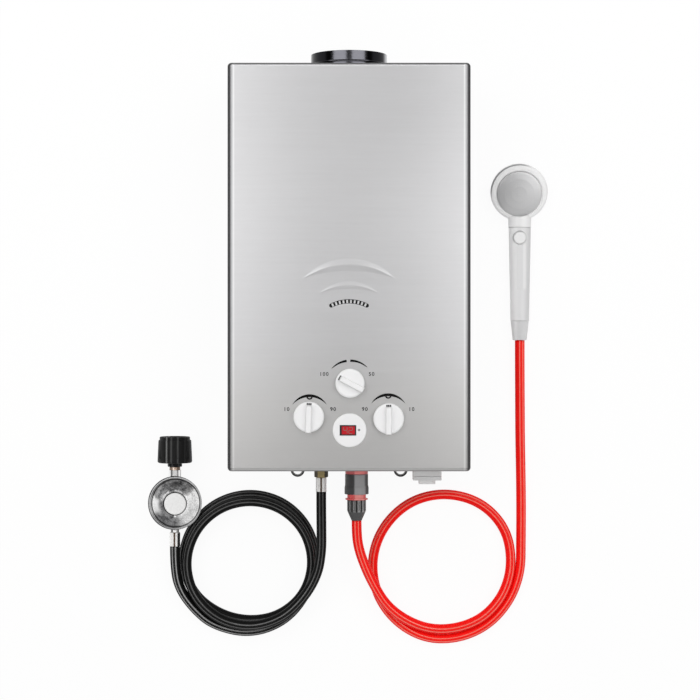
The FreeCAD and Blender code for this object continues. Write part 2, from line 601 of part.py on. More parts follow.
def hot_pipe():
    """From the exchanger's last pass down the left side and behind the valves to the outlet."""
    x0, y, z = -TUBE_REACH, TUBE_Y, TUBE_Z[0]
    low = 20.0
    side, shelf = x0 - PIPE_OUT, GAS_BOX[3] + 26
    pts = [V(x0, y, z), V(side, y, z), V(side, shelf + 34, z), V(side, shelf, low), V(HOT_X, shelf, low),
           V(HOT_X, HOT_TOP + 38, low), V(HOT_X, HOT_TOP + 10, PORT_Z), V(HOT_X, HOT_TOP - 12, PORT_Z)]
    return pipe(pts, PIPE_R, 12.0)


def cold_feed_pipe():
    x0, x1, y1 = WATER_BOX[0], WATER_BOX[1], WATER_BOX[3]
    x = (x0 + x1) / 2
    z = TUBE_Z[2]
    side = TUBE_REACH + PIPE_OUT
    pts = [V(x, y1, FEED_Z), V(x, y1 + 26, FEED_Z), V(side, y1 + 60, z), V(side, TUBE_Y, z),
           V(TUBE_REACH, TUBE_Y, z)]
    return pipe(pts, PIPE_R, 12.0)


def blade_x():
    return [(i - (BLADES - 1) / 2) * BLADE_PITCH for i in range(BLADES)]


def blade_outline(inset):
    """Side view of one blade: mixing tube below, turned up into the port deck."""
    i = inset
    z0, z1 = FLUE_Z - EX_D / 2 + 5 + i, FLUE_Z + EX_D / 2 - 5 - i
    top = FIRE_Y0 - 2 - i
    low, deck, throat = MOUTH_Y - BLADE_TUBE_R + i, BLADE_DECK_Y + i, MOUTH_Y + BLADE_TUBE_R - i
    mouth, riser = MOUTH_Z - i, z0 + BLADE_RISER - 2 * i
    return [(mouth, low), (z0 + 12, low), (z0, low + 12), (z0, top - 4), (z0 + 6, top),
            (z1 - 6, top), (z1, top - 4), (z1, deck), (riser, deck), (riser, throat), (mouth, throat)]


def burner_blades():
    z0, z1 = FLUE_Z - EX_D / 2 + 5, FLUE_Z + EX_D / 2 - 5
    top, half = FIRE_Y0 - 2, BLADE_W / 2
    solids = []
    for x in blade_x():
        blade = extrude_yz(blade_outline(0), x - half, x + half)
        blade = blade.cut(extrude_yz(blade_outline(BLADE_T), x - half + BLADE_T, x + half - BLADE_T))
        blade = blade.cut(pin(x, MOUTH_Y, MOUTH_Z - 3, MOUTH_R, MOUTH_Z + 1))
        ports = [box(x - half + 2, x + half - 2, top - 3, top + 1, z, z + 5)
                 for z in (z0 + 10 + 14 * i for i in range(6))]
        solids.append(blade.cut(group(ports)))
    return group(solids)


def burner_rack():
    frame = duct(RACK_Y0, FIRE_Y0, PLATE_T)
    w, z0, z1 = EX_W / 2 - PLATE_T, FLUE_Z - EX_D / 2, FLUE_Z + EX_D / 2
    low = MOUTH_Y - BLADE_TUBE_R
    front_rail = box(-w, w, BLADE_DECK_Y - 4, BLADE_DECK_Y, z1 - 18, z1 - PLATE_T)
    rear_wall = box(-w, w, low - 4, RACK_Y0, z0, z0 + PLATE_T)
    ledge = box(-w, w, low - 4, low, z0, z0 + 22)
    return frame.fuse([front_rail, rear_wall, ledge])


def burner_manifold():
    span = blade_x()[-1] + 9
    bar = soft_box(-span, span, BAR_Y0, BAR_Y1, BAR_Z0, BAR_Z1, 3.0, XP)
    solids = []
    for x in blade_x():
        solids.append(turned([(0, 0), (NOZZLE_R, 0), (1.4, NOZZLE_L), (0, NOZZLE_L)],
                             V(x, MOUTH_Y, BAR_Z0), ZN))
    riser_x = (GAS_BOX[0] + GAS_BOX[1]) / 2 - 9
    elbow = box(riser_x - 8, riser_x + 8, BAR_Y0 - 13, BAR_Y0, 96, BAR_Z1)
    riser = rod(riser_x, GAS_BOX[3], 104, 7.0, BAR_Y0 - 12)
    return bar.fuse(solids + [elbow, riser])


def electrodes():
    front = FLUE_Z + EX_D / 2
    out = []
    for x in (-30.0, -6.0):
        y = FIRE_Y0 + 10
        ceramic = turned([(0, -6), (3.5, -6), (3.5, 6), (5, 6), (5, 9), (3, 10), (3, 18), (0, 18)],
                         V(x, y, front - COPPER_T), ZP)
        wire = pin(x, y, front - 34, 0.9, front - 6)
        flag = box(x - 8, x + 8, y - 5, y + 5, front, front + 1.2)
        out.append(ceramic.fuse([wire, flag]))
    return group(out)


def overheat_switch():
    front = FLUE_Z + EX_D / 2
    x, y = 62.0, FIRE_Y1 - 30
    flag = box(x - 12, x + 12, y - 5, y + 5, front, front + 1.2)
    return flag.fuse([pin(x, y, front, 8.0, front + 8),
                      box(x - 6, x - 4.8, y - 2, y + 2, front + 8, front + 14),
                      box(x + 4.8, x + 6, y - 2, y + 2, front + 8, front + 14)])


# ================================================================== valves
def gas_valve_body():
    body = soft_box(*GAS_BOX, 5.0)
    body = body.fuse(soft_box(SEASON_ARM[0] - 6, *SEASON_ARM[1:], 4.0))
    top = GAS_BOX[5]
    for x, y in (GAS_XY, SEASON_XY):
        body = body.fuse(pin(x, y, top, BONNET_R, top + BONNET_H))
    body = body.fuse(rod(GAS_IN_X, GAS_BOX[2] - 10, PORT_Z + 2, 10.0, GAS_BOX[2]))
    cuts = [pin(x, y, top - 14, SPINDLE_R + RUN, top + BONNET_H + 1) for x, y in (GAS_XY, SEASON_XY)]
    right = GAS_BOX[1]
    cuts.append(bar_x(right - 16, ROD_Y, ROD_Z, ROD_R + RUN, right + 1))
    return body.cut(group(cuts))


def gas_solenoid():
    left = GAS_BOX[0]
    y, z = (GAS_BOX[2] + GAS_BOX[3]) / 2 + 8, (GAS_BOX[4] + GAS_BOX[5]) / 2
    coil = bar_x(left - COIL_L, y, z, 13.0, left)
    return coil.fuse(bar_x(left - COIL_L - 6, y, z, 5.0, left - COIL_L))


def gas_inlet_stub():
    start = GAS_BOX[2] - 10
    stub = rod(GAS_IN_X, GAS_STUB_END, PORT_Z, GAS_STUB_R, start)
    stub = stub.fuse(hexagon(20.0, GAS_IN_X, NECK_HEX_TOP, PORT_Z, NECK_HEX_LOW))
    return stub.cut(rod(GAS_IN_X, GAS_STUB_END - 1, PORT_Z, 3.6, GAS_STUB_END + 20))


def water_valve_body():
    x0, x1, y0, y1, z0, z1 = WATER_BOX
    body = soft_box(*WATER_BOX, 5.0)
    body = body.fuse(pin(*WATER_XY, z1, BONNET_R, z1 + BONNET_H))
    body = body.fuse(bar_x(CHAMBER_X[2], ROD_Y, ROD_Z, CHAMBER_R, x0 + 1))
    body = body.cut(pin(*WATER_XY, z1 - 14, SPINDLE_R + RUN, z1 + BONNET_H + 1))
    return body.cut(rod(DRAIN_X, y0 - 1, DRAIN_Z, DRAIN_R - 1.5 + RUN, y0 + 14))


def diaphragm_cover():
    xa, xb = CHAMBER_X[0], CHAMBER_X[1]
    body = bar_x(xa, ROD_Y, ROD_Z, CHAMBER_R, xb)
    body = round_edges(body, 4.0, lambda e: abs(e.BoundBox.XMax - xa) < 1e-4)
    body = body.cut(bar_x(xa + 4, ROD_Y, ROD_Z, CHAMBER_R - CHAMBER_WALL, xb + 1))
    return body.cut(bar_x(xa - 1, ROD_Y, ROD_Z, ROD_R + RUN, xb))


def diaphragm():
    return bar_x(CHAMBER_X[1], ROD_Y, ROD_Z, CHAMBER_R - 1, CHAMBER_X[2])


def diaphragm_pushrod():
    end = CHAMBER_X[1] - RUN
    stem = bar_x(GAS_BOX[1] - 10, ROD_Y, ROD_Z, ROD_R, end)
    plate = bar_x(end - 3, ROD_Y, ROD_Z, CHAMBER_R - CHAMBER_WALL - 4, end)
    return stem.fuse(plate)


def micro_switch():
    right = GAS_BOX[1]
    body = box(right, right + 19, ROD_Y + 9, ROD_Y + 21, ROD_Z - 8, ROD_Z + 8)
    lever = box(right + 10, right + 16, ROD_Y + ROD_R + RUN, ROD_Y + 9, ROD_Z - 2, ROD_Z + 2)
    return body.fuse(lever)


def cold_inlet():
    y0 = WATER_BOX[2]
    body = rod(COLD_X, y0, COLD_Z, COLD_R, COLD_END)
    body = round_edges(body, 1.0, lambda e: abs(e.BoundBox.YMax - COLD_END) < 1e-4)
    return body.cut(rod(COLD_X, COLD_END - 1, COLD_Z, COLD_BORE, y0 - 6))


def drain_plug():
    y0 = WATER_BOX[2]
    head = rod(DRAIN_X, y0 - RUN, DRAIN_Z, DRAIN_R, DRAIN_END)
    shank = rod(DRAIN_X, y0 + 12, DRAIN_Z, DRAIN_R - 1.5, y0 - 1)
    slot = box(DRAIN_X - 4, DRAIN_X + 4, DRAIN_END - 1, DRAIN_END + 1.6, DRAIN_Z - 0.6, DRAIN_Z + 0.6)
    return head.fuse(shank).cut(slot)


def spark_module():
    x0, x1, y0, y1, top = *SPARK_X, *SPARK_Y, PLATE_T + SPARK_T
    body = soft_box(x0, x1, y0, y1, PLATE_T, top, 3.0)
    posts = [pin((x0 + x1) / 2 + i * 14.0, y1 - 18, top, 3.0, top + 8) for i in (-1, 0, 1)]
    return body.fuse(posts)


def chassis_brackets():
    """Sheet brackets between the back plate and what it carries: centre x, y, height."""
    fire = FLUE_Z - EX_D / 2
    places = ((-60.0, 60.0, fire), (60.0, 60.0, fire), (-60.0, -46.0, fire), (60.0, -46.0, fire),
              (GAS_XY[0], GAS_BOX[2] + 32, GAS_BOX[4]), (WATER_XY[0], WATER_BOX[2] + 25, WATER_BOX[4]),
              (CASE_X, CASE_END + 53, PORT_Z - CASE_W / 2))
    out = []
    for x, y, top in places:
        t, z0 = PLATE_T, PLATE_T
        half, web_y = BRACKET_W / 2, y + BRACKET_FOOT
        foot = box(x - half, x + half, y, web_y, z0, z0 + t)
        web = box(x - half, x + half, web_y - t, web_y, z0, top)
        head = box(x - half, x + half, web_y - t, web_y + BRACKET_FOOT, top - t, top)
        out.append(foot.fuse([web, head]))
    return group(out)


# ================================================================== battery case
def hinge_y():
    return CASE_END - HINGE_DROP


def hinge_z():
    return PORT_Z - CASE_W / 2 - HINGE_R - HINGE_LIFT


def hinge_lug(side, room):
    """One of the two lugs that hold the hinge pin. With room round it, the notch in the lid for it."""
    x, half = CASE_X + side * LUG_DX, LUG_W / 2 + room
    eye = bar_x(x - half, hinge_y(), hinge_z(), LUG_R + room, x + half)
    web = box(x - half, x + half, hinge_y(), CASE_END + LUG_FOOT,
              hinge_z() - LUG_R + 0.2, PORT_Z - CASE_W / 2 + LUG_BITE + room)
    return eye.fuse(web)


def battery_case():
    h = CASE_W / 2
    case = soft_box(CASE_X - h, CASE_X + h, CASE_END, CASE_TOP, PORT_Z - h, PORT_Z + h, CASE_SOFT, YP)
    case = case.cut(rod(CASE_X, CASE_END - 1, PORT_Z, CELL_R + CELL_ROOM, CASE_TOP - CASE_CROWN))
    reach = LUG_DX + LUG_W / 4
    pivot = bar_x(CASE_X - reach, hinge_y(), hinge_z(), HINGE_R, CASE_X + reach)
    return case.fuse([hinge_lug(-1, 0.0), hinge_lug(1, 0.0), pivot])


def battery_lid():
    h = CASE_W / 2
    y, z = hinge_y(), hinge_z()
    half = LUG_DX - LUG_W / 2 - RUN
    lid = soft_box(CASE_X - h, CASE_X + h, LID_END, CASE_END - RUN, PORT_Z - h, PORT_Z + h, CASE_SOFT, YP)
    tab = soft_box(CASE_X - LID_TAB_W / 2, CASE_X + LID_TAB_W / 2, LID_TAB_END, LID_END,
                   PORT_Z - LID_TAB_H / 2, PORT_Z + LID_TAB_H / 2, CASE_SOFT, YP)
    knuckle = bar_x(CASE_X - half, y, z, KNUCKLE_R, CASE_X + half)
    arm = box(CASE_X - half, CASE_X + half, LID_END, y, z, PORT_Z - h + HINGE_ARM)
    lid = lid.fuse([tab, knuckle, arm])
    bore = bar_x(CASE_X - half - 1, y, z, HINGE_R + FIT, CASE_X + half + 1)
    return lid.cut(group([bore, hinge_lug(-1, RUN), hinge_lug(1, RUN)]))


def battery_cells():
    cells = []
    y = CASE_TOP - 5
    for i in range(2):
        can = rod(CASE_X, y - CELL_L + 2, PORT_Z, CELL_R, y - 1.5)
        nub = rod(CASE_X, y - 1.5, PORT_Z, 4.5, y)
        cells.append(can.fuse(nub))
        y -= CELL_L - 2 + 0.3
    return group(cells)


# ================================================================== hot outlet and coupler
def hot_outlet():
    top = HOT_TOP
    body = rod(HOT_X, HOT_END, PORT_Z, HOT_R, top)
    body = body.fuse(hexagon(22.0, HOT_X, NECK_HEX_TOP, PORT_Z, NECK_HEX_LOW))
    body = body.cut(rod(HOT_X, top - 12, PORT_Z, PIPE_R + FIT, top + 1))
    return body.cut(rod(HOT_X, HOT_END - 1, PORT_Z, SPIGOT_BORE, top - 11))


def tap_adaptor():
    r, groove = COLLAR_R, SPIGOT_R - SEAL_GROOVE_D
    profile = [(HOT_R + FIT, COLLAR_TOP), (r - 0.6, COLLAR_TOP), (r, COLLAR_TOP - 0.6),
               (r, COLLAR_END), (SPIGOT_R, COLLAR_END), (SPIGOT_R, SEAL_GROOVE), (groove, SEAL_GROOVE),
               (groove, SEAL_GROOVE - SEAL_GROOVE_W), (SPIGOT_R, SEAL_GROOVE - SEAL_GROOVE_W),
               (SPIGOT_R, SPIGOT_END + 1),
               (SPIGOT_R - 1, SPIGOT_END), (SPIGOT_BORE, SPIGOT_END), (SPIGOT_BORE, HOT_END - 0.2),
               (HOT_R + FIT, HOT_END - 0.2)]
    return turned_y(profile, HOT_X, PORT_Z)


def coupler_core():
    top = COLLAR_END - 0.7
    profile = [(SPIGOT_R + RUN, top), (CORE_R, top), (CORE_R, CORE_END + CORE_FLANGE_T),
               (CORE_FLANGE_R, CORE_END + CORE_FLANGE_T), (CORE_FLANGE_R, CORE_END)]
    profile += [(BARB_R, CORE_END)]
    y = CORE_END - 6.7
    while y - 5 > WATER_HOSE_TOP:
        profile += [(BARB_R, y), (BARB_R + BARB_LIP, y - 0.2), (BARB_R, y - 3)]
        y -= 6
    profile += [(BARB_R, WATER_HOSE_TOP), (3.4, WATER_HOSE_TOP), (3.4, SPIGOT_END - 1.5),
                (SPIGOT_R + RUN, SPIGOT_END - 0.3)]
    return turned_y(profile, HOT_X, PORT_Z)


def coupler_sleeve():
    bore = CORE_R + RUN + 0.1
    top, step = COLLAR_END - 0.4, SLEEVE_END + SLEEVE_STEP
    profile = [(bore, top), (SLEEVE_R - 0.5, top), (SLEEVE_R, top - 0.5), (SLEEVE_R, step),
               (SLEEVE_R + 0.1, step - 2), (SLEEVE_FLARE_R, step - 5), (SLEEVE_FLARE_R, SLEEVE_END + 0.6),
               (SLEEVE_FLARE_R - 0.6, SLEEVE_END), (bore, SLEEVE_END)]
    return turned_y(profile, HOT_X, PORT_Z)


def hose_nut():
    top = CORE_END - 0.4
    bore = BARB_R + BARB_LIP + RUN
    profile = [(bore, top), (NUT_R - 0.5, top), (NUT_R, top - 0.5), (NUT_R, NUT_STRAIGHT_END),
               (NUT_TIP_R + 0.4, NUT_END + 1), (NUT_TIP_R, NUT_END), (bore, NUT_END)]
    body = turned_y(profile, HOT_X, PORT_Z)
    grooves, groove_z = [], PORT_Z + NUT_R + RIB_GROOVE_R - RIB_DEPTH
    for i in range(NUT_RIBS):
        g = rod(HOT_X, NUT_STRAIGHT_END + 1, groove_z, RIB_GROOVE_R, top - 1.6)
        g.rotate(V(HOT_X, 0, PORT_Z), YP, 360.0 * i / NUT_RIBS)
        grooves.append(g)
    return body.cut(group(grooves))


# ================================================================== gas connection
def gas_hose_nut():
    body = hexagon(GAS_NUT_AF, GAS_IN_X, GAS_NUT_TOP, PORT_Z, GAS_NUT_END)
    cone = turned_y([(0, GAS_NUT_TOP + 0.1), (GAS_NUT_AF / 2 + 0.4, GAS_NUT_TOP + 0.1),
                     (GAS_NUT_AF / 2 + 1.8, GAS_NUT_TOP - 1.6), (GAS_NUT_AF / 2 + 1.8, GAS_NUT_END + 1.6),
                     (GAS_NUT_AF / 2 + 0.4, GAS_NUT_END - 0.1), (0, GAS_NUT_END - 0.1)],
                    GAS_IN_X, PORT_Z)
    body = body.common(cone)
    lip = GAS_NUT_END + 2.4
    body = body.cut(rod(GAS_IN_X, lip, PORT_Z, GAS_STUB_R + RUN, GAS_NUT_TOP + 1))
    return body.cut(rod(GAS_IN_X, GAS_NUT_END - 1, PORT_Z, FERRULE_BARB + RUN, GAS_NUT_TOP))


def ferrule_profile(y_face, y_end):
    """Crimped sleeve from the face beside the fitting to the hose's end."""
    r = FERRULE_R
    step = (y_end - y_face) / 6
    pts = [(r - 0.8, y_face), (r, y_face + math.copysign(0.8, step))]
    for i in (2, 3, 4):
        y = y_face + i * step
        pts += [(r, y - step * 0.35), (r - CRIMP, y - step * 0.15), (r - CRIMP, y + step * 0.15),
                (r, y + step * 0.35)]
    return pts + [(r, y_end), (0, y_end)]


def gas_hose_ferrules():
    face = GAS_NUT_END - RUN
    seat = GAS_STUB_END - 0.3
    neck = FERRULE_BARB
    heater_end = [(0, seat), (GAS_STUB_R - 0.3, seat), (GAS_STUB_R - 0.3, seat - 1.5), (neck, seat - 1.5),
                  (neck, face)] + ferrule_profile(face, GAS_HOSE_START.y)
    start, end = OUTLET_END, GAS_HOSE_END.y
    reg_end = [(0, start)] + ferrule_profile(start, end)
    return group([turned_y(heater_end, GAS_IN_X, PORT_Z), turned_y(reg_end, REG_X, REG_Z)])


# ================================================================== regulator
def regulator_body():
    rim = REG_R - 0.9
    profile = [(0, REG_BASE_Z), (REG_BASE_R, REG_BASE_Z), (REG_BASE_R + 3, REG_BASE_Z + 1),
               (REG_BOWL_R - 5, REG_BOWL_Z - 12), (REG_BOWL_R - 1.4, REG_BOWL_Z - 5),
               (REG_BOWL_R, REG_BOWL_Z), (rim, REG_RIM_Z - 3), (rim, REG_RIM_Z), (0, REG_RIM_Z)]
    body = turned(profile, V(REG_X, REG_Y, 0), ZP)
    root = REG_Y + REG_R - 1.5
    stem = hexagon(STEM_AF, REG_X, STEM_TOP, REG_Z, root)
    stem = stem.common(rod(REG_X, STEM_TOP, REG_Z, STEM_AF / 2 + 0.9, root))
    stem = stem.cut(turned([(0, REG_RIM_Z - 2), (REG_R + RUN, REG_RIM_Z - 2), (REG_R + RUN, REG_RIM_Z + 9),
                            (0, REG_RIM_Z + 9)], V(REG_X, REG_Y, 0), ZP))
    stem = stem.fuse(rod(REG_X, root + 1, REG_Z, REG_RIM_Z - REG_Z - RUN, REG_Y + 20))
    outlet = rod(REG_X, OUTLET_END, REG_Z, OUTLET_R, REG_Y - 20)
    body = body.fuse([stem, outlet])
    body = body.cut(rod(REG_X, STEM_TOP - 8, REG_Z, STEM_BORE + FIT, STEM_TOP + 1))
    return about_stem(body)


def regulator_cover():
    z0 = REG_RIM_Z
    z1 = z0 + REG_RIM_T
    r = REG_R
    profile = [(0, z0), (r, z0), (r, z1 - 0.8), (r - 0.8, z1), (r - REG_LIP, z1 + 0.2),
               (r - REG_LIP - 0.8, z1 - 1.0), (r - REG_LIP - 2.0, z1 - 1.2), (r - 8, z1 + 1.2),
               (REG_DOME_R + 5, REG_DOME_Z - 4.5), (REG_DOME_R + 1.2, REG_DOME_Z - 0.9),
               (REG_DOME_R - 0.6, REG_DOME_Z), (CAP_R + FIT, REG_DOME_Z),
               (CAP_R + FIT, REG_DOME_Z - 3), (0, REG_DOME_Z - 3)]
    body = turned(profile, V(REG_X, REG_Y, 0), ZP)
    body = body.fuse(pin(REG_X, REG_Y - VENT_DIST, REG_DOME_Z - 5, VENT_R, REG_DOME_Z + 0.6))
    return about_stem(body)


def regulator_cap():
    z0 = REG_DOME_Z - 3
    r = CAP_R
    profile = [(0, z0), (r, z0), (r, z0 + CAP_T - 1), (r - 0.9, z0 + CAP_T), (0, z0 + CAP_T + 0.5)]
    return about_stem(turned(profile, V(REG_X, REG_Y, 0), ZP))


def qcc_nut():
    hole = NIPPLE_R + RUN
    profile = [(QCC_BORE_R + 1.2, QCC_TOP), (QCC_RING_R - 0.8, QCC_TOP), (QCC_RING_R, QCC_TOP - 0.8),
               (QCC_RING_R, QCC_RING_END), (QCC_R0 - 0.4, QCC_RING_END - 0.6), (QCC_R0, QCC_RING_END - 1.6),
               (QCC_R1, QCC_END + 2.2), (QCC_R1 - 0.7, QCC_END + 0.6), (QCC_R1 - 2.4, QCC_END),
               (QCC_BOSS_R, QCC_END), (QCC_BOSS_R, QCC_BOSS_END + 0.6), (QCC_BOSS_R - 0.6, QCC_BOSS_END),
               (hole, QCC_BOSS_END), (hole, QCC_BORE_END), (QCC_BORE_R, QCC_BORE_END),
               (QCC_BORE_R, QCC_TOP - 1.2)]
    body = turned_y(profile, REG_X, REG_Z)
    grooves = []
    for i in range(QCC_GRIPS):
        g = Part.makeCone(QCC_GROOVE_R, QCC_GROOVE_R * 0.75, abs(QCC_END - QCC_RING_END) - 3,
                          V(REG_X, QCC_END + 6, REG_Z + QCC_R1 + QCC_GROOVE_R - QCC_GROOVE_IN), YP)
        g.rotate(V(REG_X, 0, REG_Z), YP, 360.0 * (i + 0.5) / QCC_GRIPS)
        grooves.append(g)
    return body.cut(group(grooves))


def qcc_nipple():
    seat, collar = QCC_BORE_END + RUN, QCC_BOSS_END - RUN
    profile = [(0, NIPPLE_TIP), (3.0, NIPPLE_TIP), (5.6, NIPPLE_TIP - 1.6),
               (NIPPLE_NOSE_R, NIPPLE_TIP - 5.5), (NIPPLE_NOSE_R, NIPPLE_TIP - 10),
               (NIPPLE_R, NIPPLE_TIP - 12), (NIPPLE_R, seat + NIPPLE_FLANGE_T),
               (NIPPLE_FLANGE_R, seat + NIPPLE_FLANGE_T), (NIPPLE_FLANGE_R, seat), (NIPPLE_R, seat),
               (NIPPLE_R, collar), (NIPPLE_COLLAR_R - 0.4, collar), (NIPPLE_COLLAR_R, collar - 0.4),
               (NIPPLE_COLLAR_R, STEM_TOP), (STEM_BORE, STEM_TOP),
               (STEM_BORE, STEM_TOP - 7), (0, STEM_TOP - 7)]
    return turned_y(profile, REG_X, REG_Z)


# ================================================================== hoses
def polar(centre, bearing, r, z):
    a = math.radians(bearing)
    return V(centre[0] + r * math.cos(a), centre[1] + r * math.sin(a), z)


def laid(x, drop, z):
    """A point of a hose's route, by how far it lies below the casing's base."""
    return V(x, BASE_Y - drop, z)


# Gas hose: a lead-in, two and a quarter turns laid clockwise at every 30 degrees, a lead-out.
COIL_CENTRE = (-134.0, BASE_Y - 131.0)
COIL_FROM, COIL_STEP = -60.0, -30.0
COIL_TURNS = ((90.0, 21.5), (89.0, 19.2), (89.4, 19.6), (89.3, 20.9), (88.0, 20.9), (86.0, 20.7),
              (84.5, 19.6), (84.0, 19.4), (85.0, 19.9), (86.3, 20.9), (86.3, 20.9), (82.5, 18.7),
              (81.0, 10.4), (83.0, 7.0), (84.0, 7.0), (87.5, 7.0), (91.0, 7.0), (92.3, 7.0),
              (92.6, 7.0), (92.5, 7.0), (92.5, 7.0), (91.9, 7.0), (91.6, 7.0), (96.0, 7.0),
              (98.3, 7.0), (98.2, 7.0), (99.2, 7.6))
GAS_LEAD_IN = (GAS_HOSE_START, laid(-37.2, 56.2, 48.0), laid(-36.7, 84.4, 45.5), laid(-35.9, 114.4, 40.5),
               laid(-38.2, 147.1, 35.0), laid(-55.3, 180.7, 28.6))
GAS_LEAD_OUT = (laid(-212.0, 193.7, 10.5), laid(-230.2, 166.0, 16.0), laid(REG_X, 135.8, REG_Z),
                laid(REG_X, 109.4, REG_Z))
GAS_HOSE_END = GAS_LEAD_OUT[-1]

# Shower hose: down from the coupler, once round on the floor, up to the handset.
SHOWER_ROUTE = (
    laid(HOT_X, 72.9, PORT_Z), laid(HOT_X, 90.9, PORT_Z), laid(13.0, 111.4, 44.0), laid(20.2, 134.3, 36.0),
    laid(29.4, 157.4, 28.0), laid(48.3, 190.4, 21.8), laid(77.1, 211.8, 14.8), laid(111.2, 223.9, 8.4),
    laid(149.6, 222.4, 7.0), laid(184.3, 206.0, 7.0), laid(211.3, 174.0, 7.0), laid(221.8, 133.0, 7.0),
    laid(210.8, 88.6, 7.0), laid(177.5, 52.6, 7.0), laid(130.6, 38.4, 7.0), laid(82.8, 49.3, 7.0),
    laid(46.2, 82.4, 7.0), laid(29.2, 126.2, 7.0), laid(33.3, 174.9, 7.0), laid(58.4, 215.1, 7.0),
    laid(101.2, 237.9, 7.0), laid(149.7, 238.5, 7.0), laid(193.0, 220.2, 7.0), laid(224.9, 187.1, 7.0),
    laid(238.5, 146.7, 7.0), laid(235.7, 104.4, 7.0), laid(234.5, 59.6, 7.0), laid(233.3, 12.1, 7.0),
    laid(232.4, -35.3, 7.0), laid(231.8, -80.1, 7.8), laid(231.3, -119.5, 10.2),
    laid(HAND_X, -145.2, HAND_Z),
    V(HAND_X, HAND_BARB_END, HAND_Z))


def gas_hose():
    turns = [polar(COIL_CENTRE, COIL_FROM + i * COIL_STEP, r, z) for i, (r, z) in enumerate(COIL_TURNS)]
    return hose(list(GAS_LEAD_IN) + turns + list(GAS_LEAD_OUT), HOSE_R, "gas hose")


def shower_hose():
    return hose(list(SHOWER_ROUTE), HOSE_R, "shower hose")


# ================================================================== handset
def oval(a, b, y):
    """Ellipse across the handle: half width a, half depth b."""
    e = Part.Ellipse(V(HAND_X + a, y, HAND_Z), V(HAND_X, y, HAND_Z + b), V(HAND_X, y, HAND_Z))
    return Part.Wire(e.toShape())


def shower_handle():
    body = Part.makeLoft([oval(15.0, 12.0, NECK_END - 0.4), oval(14.7, 12.1, HANDLE_TOP),
                          oval(13.9, HAND_DEEP, HANDLE_MID),
                          oval(HAND_HALF, HAND_DEEP, HANDLE_END)], True, False)
    r, barb_top = HAND_BARB_R, HANDLE_END + 2
    barb = [(0, barb_top), (7.4, barb_top), (7.4, HANDLE_END - 12), (r, HANDLE_END - 12)]
    y = HANDLE_END - 15
    while y - 4 > HAND_BARB_END:
        barb += [(r, y), (r + 0.3, y - 0.2), (r, y - 3)]
        y -= 5
    barb += [(r, HAND_BARB_END), (0, HAND_BARB_END)]
    body = body.fuse(turned_y(barb, HAND_X, HAND_Z))
    top = HAND_Z + HAND_TOP
    pocket_r = BUTTON_R + RUN
    x, floor = HAND_X + BUTTON_DX, top - BUTTON_T - BUTTON_TRAVEL - RUN
    dish = Part.makeCone(pocket_r, pocket_r + 2 * BUTTON_DISH, 2 * BUTTON_DISH,
                         V(x, BUTTON_Y, top - BUTTON_DISH), ZP)
    body = body.cut(pin(x, BUTTON_Y, floor, pocket_r, top + 5)).cut(dish)
    y1, y0, half = GRIP_PANEL
    panel = soft_box(HAND_X - half, HAND_X + half, y0, y1, HAND_Z + 11.4, HAND_Z + 20, half - 0.5)
    return body.cut(panel)


def shower_button():
    top = HAND_Z + HAND_TOP + BUTTON_PROUD
    z0 = HAND_Z + HAND_TOP - BUTTON_T
    profile = [(0, z0), (BUTTON_R, z0), (BUTTON_R, top - 1.0), (BUTTON_R - 0.9, top), (0, top - 0.3)]
    return turned(profile, V(HAND_X + BUTTON_DX, BUTTON_Y, 0), ZP)


def head_frame(shape):
    """Tip the head towards the handle and put it in place."""
    shape.rotate(V(0, 0, 0), XP, HEAD_TILT)
    shape.translate(V(HEAD_X, HEAD_Y, HEAD_Z))
    return shape


def shower_head():
    r, z = HEAD_R, HEAD_RIM
    profile = [(0, z - 21), (16, z - 20.6), (26, z - 18.4), (33, z - 14), (r - 1.0, z - 8.8), (r, z - 6.6),
               (r, z - 4), (r - 0.8, z - 1.8), (r - 2.6, z - 0.4), (r - 5.0, z), (0, z)]
    neck = Part.makeLoft([oval(15.4, 12.0, NECK_END), oval(15.7, 11.4, NECK_TOP)], True, True)
    hole = FACE_R + FIT
    seat = pin(0, -FACE_DROP, FACE_SEAT, hole, 40)
    lip = Part.makeCone(hole, hole + 2 * FACE_LIP, 2 * FACE_LIP, V(0, -FACE_DROP, z - FACE_LIP), ZP)
    head = turned(profile, V(0, 0, 0), ZP)
    return head_frame(head).fuse(neck).cut(head_frame(seat.fuse(lip))).removeSplitter()


def shower_faceplate():
    r = FACE_R
    profile = [(0, FACE_SEAT), (r, FACE_SEAT), (r, FACE_SEAT + 1.0), (r - 0.5, FACE_SEAT + 1.6),
               (r - 3, FACE_SEAT + 2.2), (r * 0.66, FACE_SEAT + 3.2), (r * 0.33, FACE_SEAT + 3.9),
               (0, FACE_SEAT + 4.1)]
    return head_frame(turned(profile, V(0, -FACE_DROP, 0), ZP))


def shower_cone_nut():
    bore = 7.4 + RUN
    low = HAND_BARB_R + 0.3 + RUN
    y = HANDLE_END - 12 - RUN
    profile = [(bore, CONE_TOP), (CONE_R0 - 0.4, CONE_TOP), (CONE_R0, CONE_TOP - 0.5),
               (CONE_R1 + 0.3, CONE_END + 1), (CONE_R1, CONE_END), (low, CONE_END), (low, y), (bore, y)]
    return turned_y(profile, HAND_X, HAND_Z)


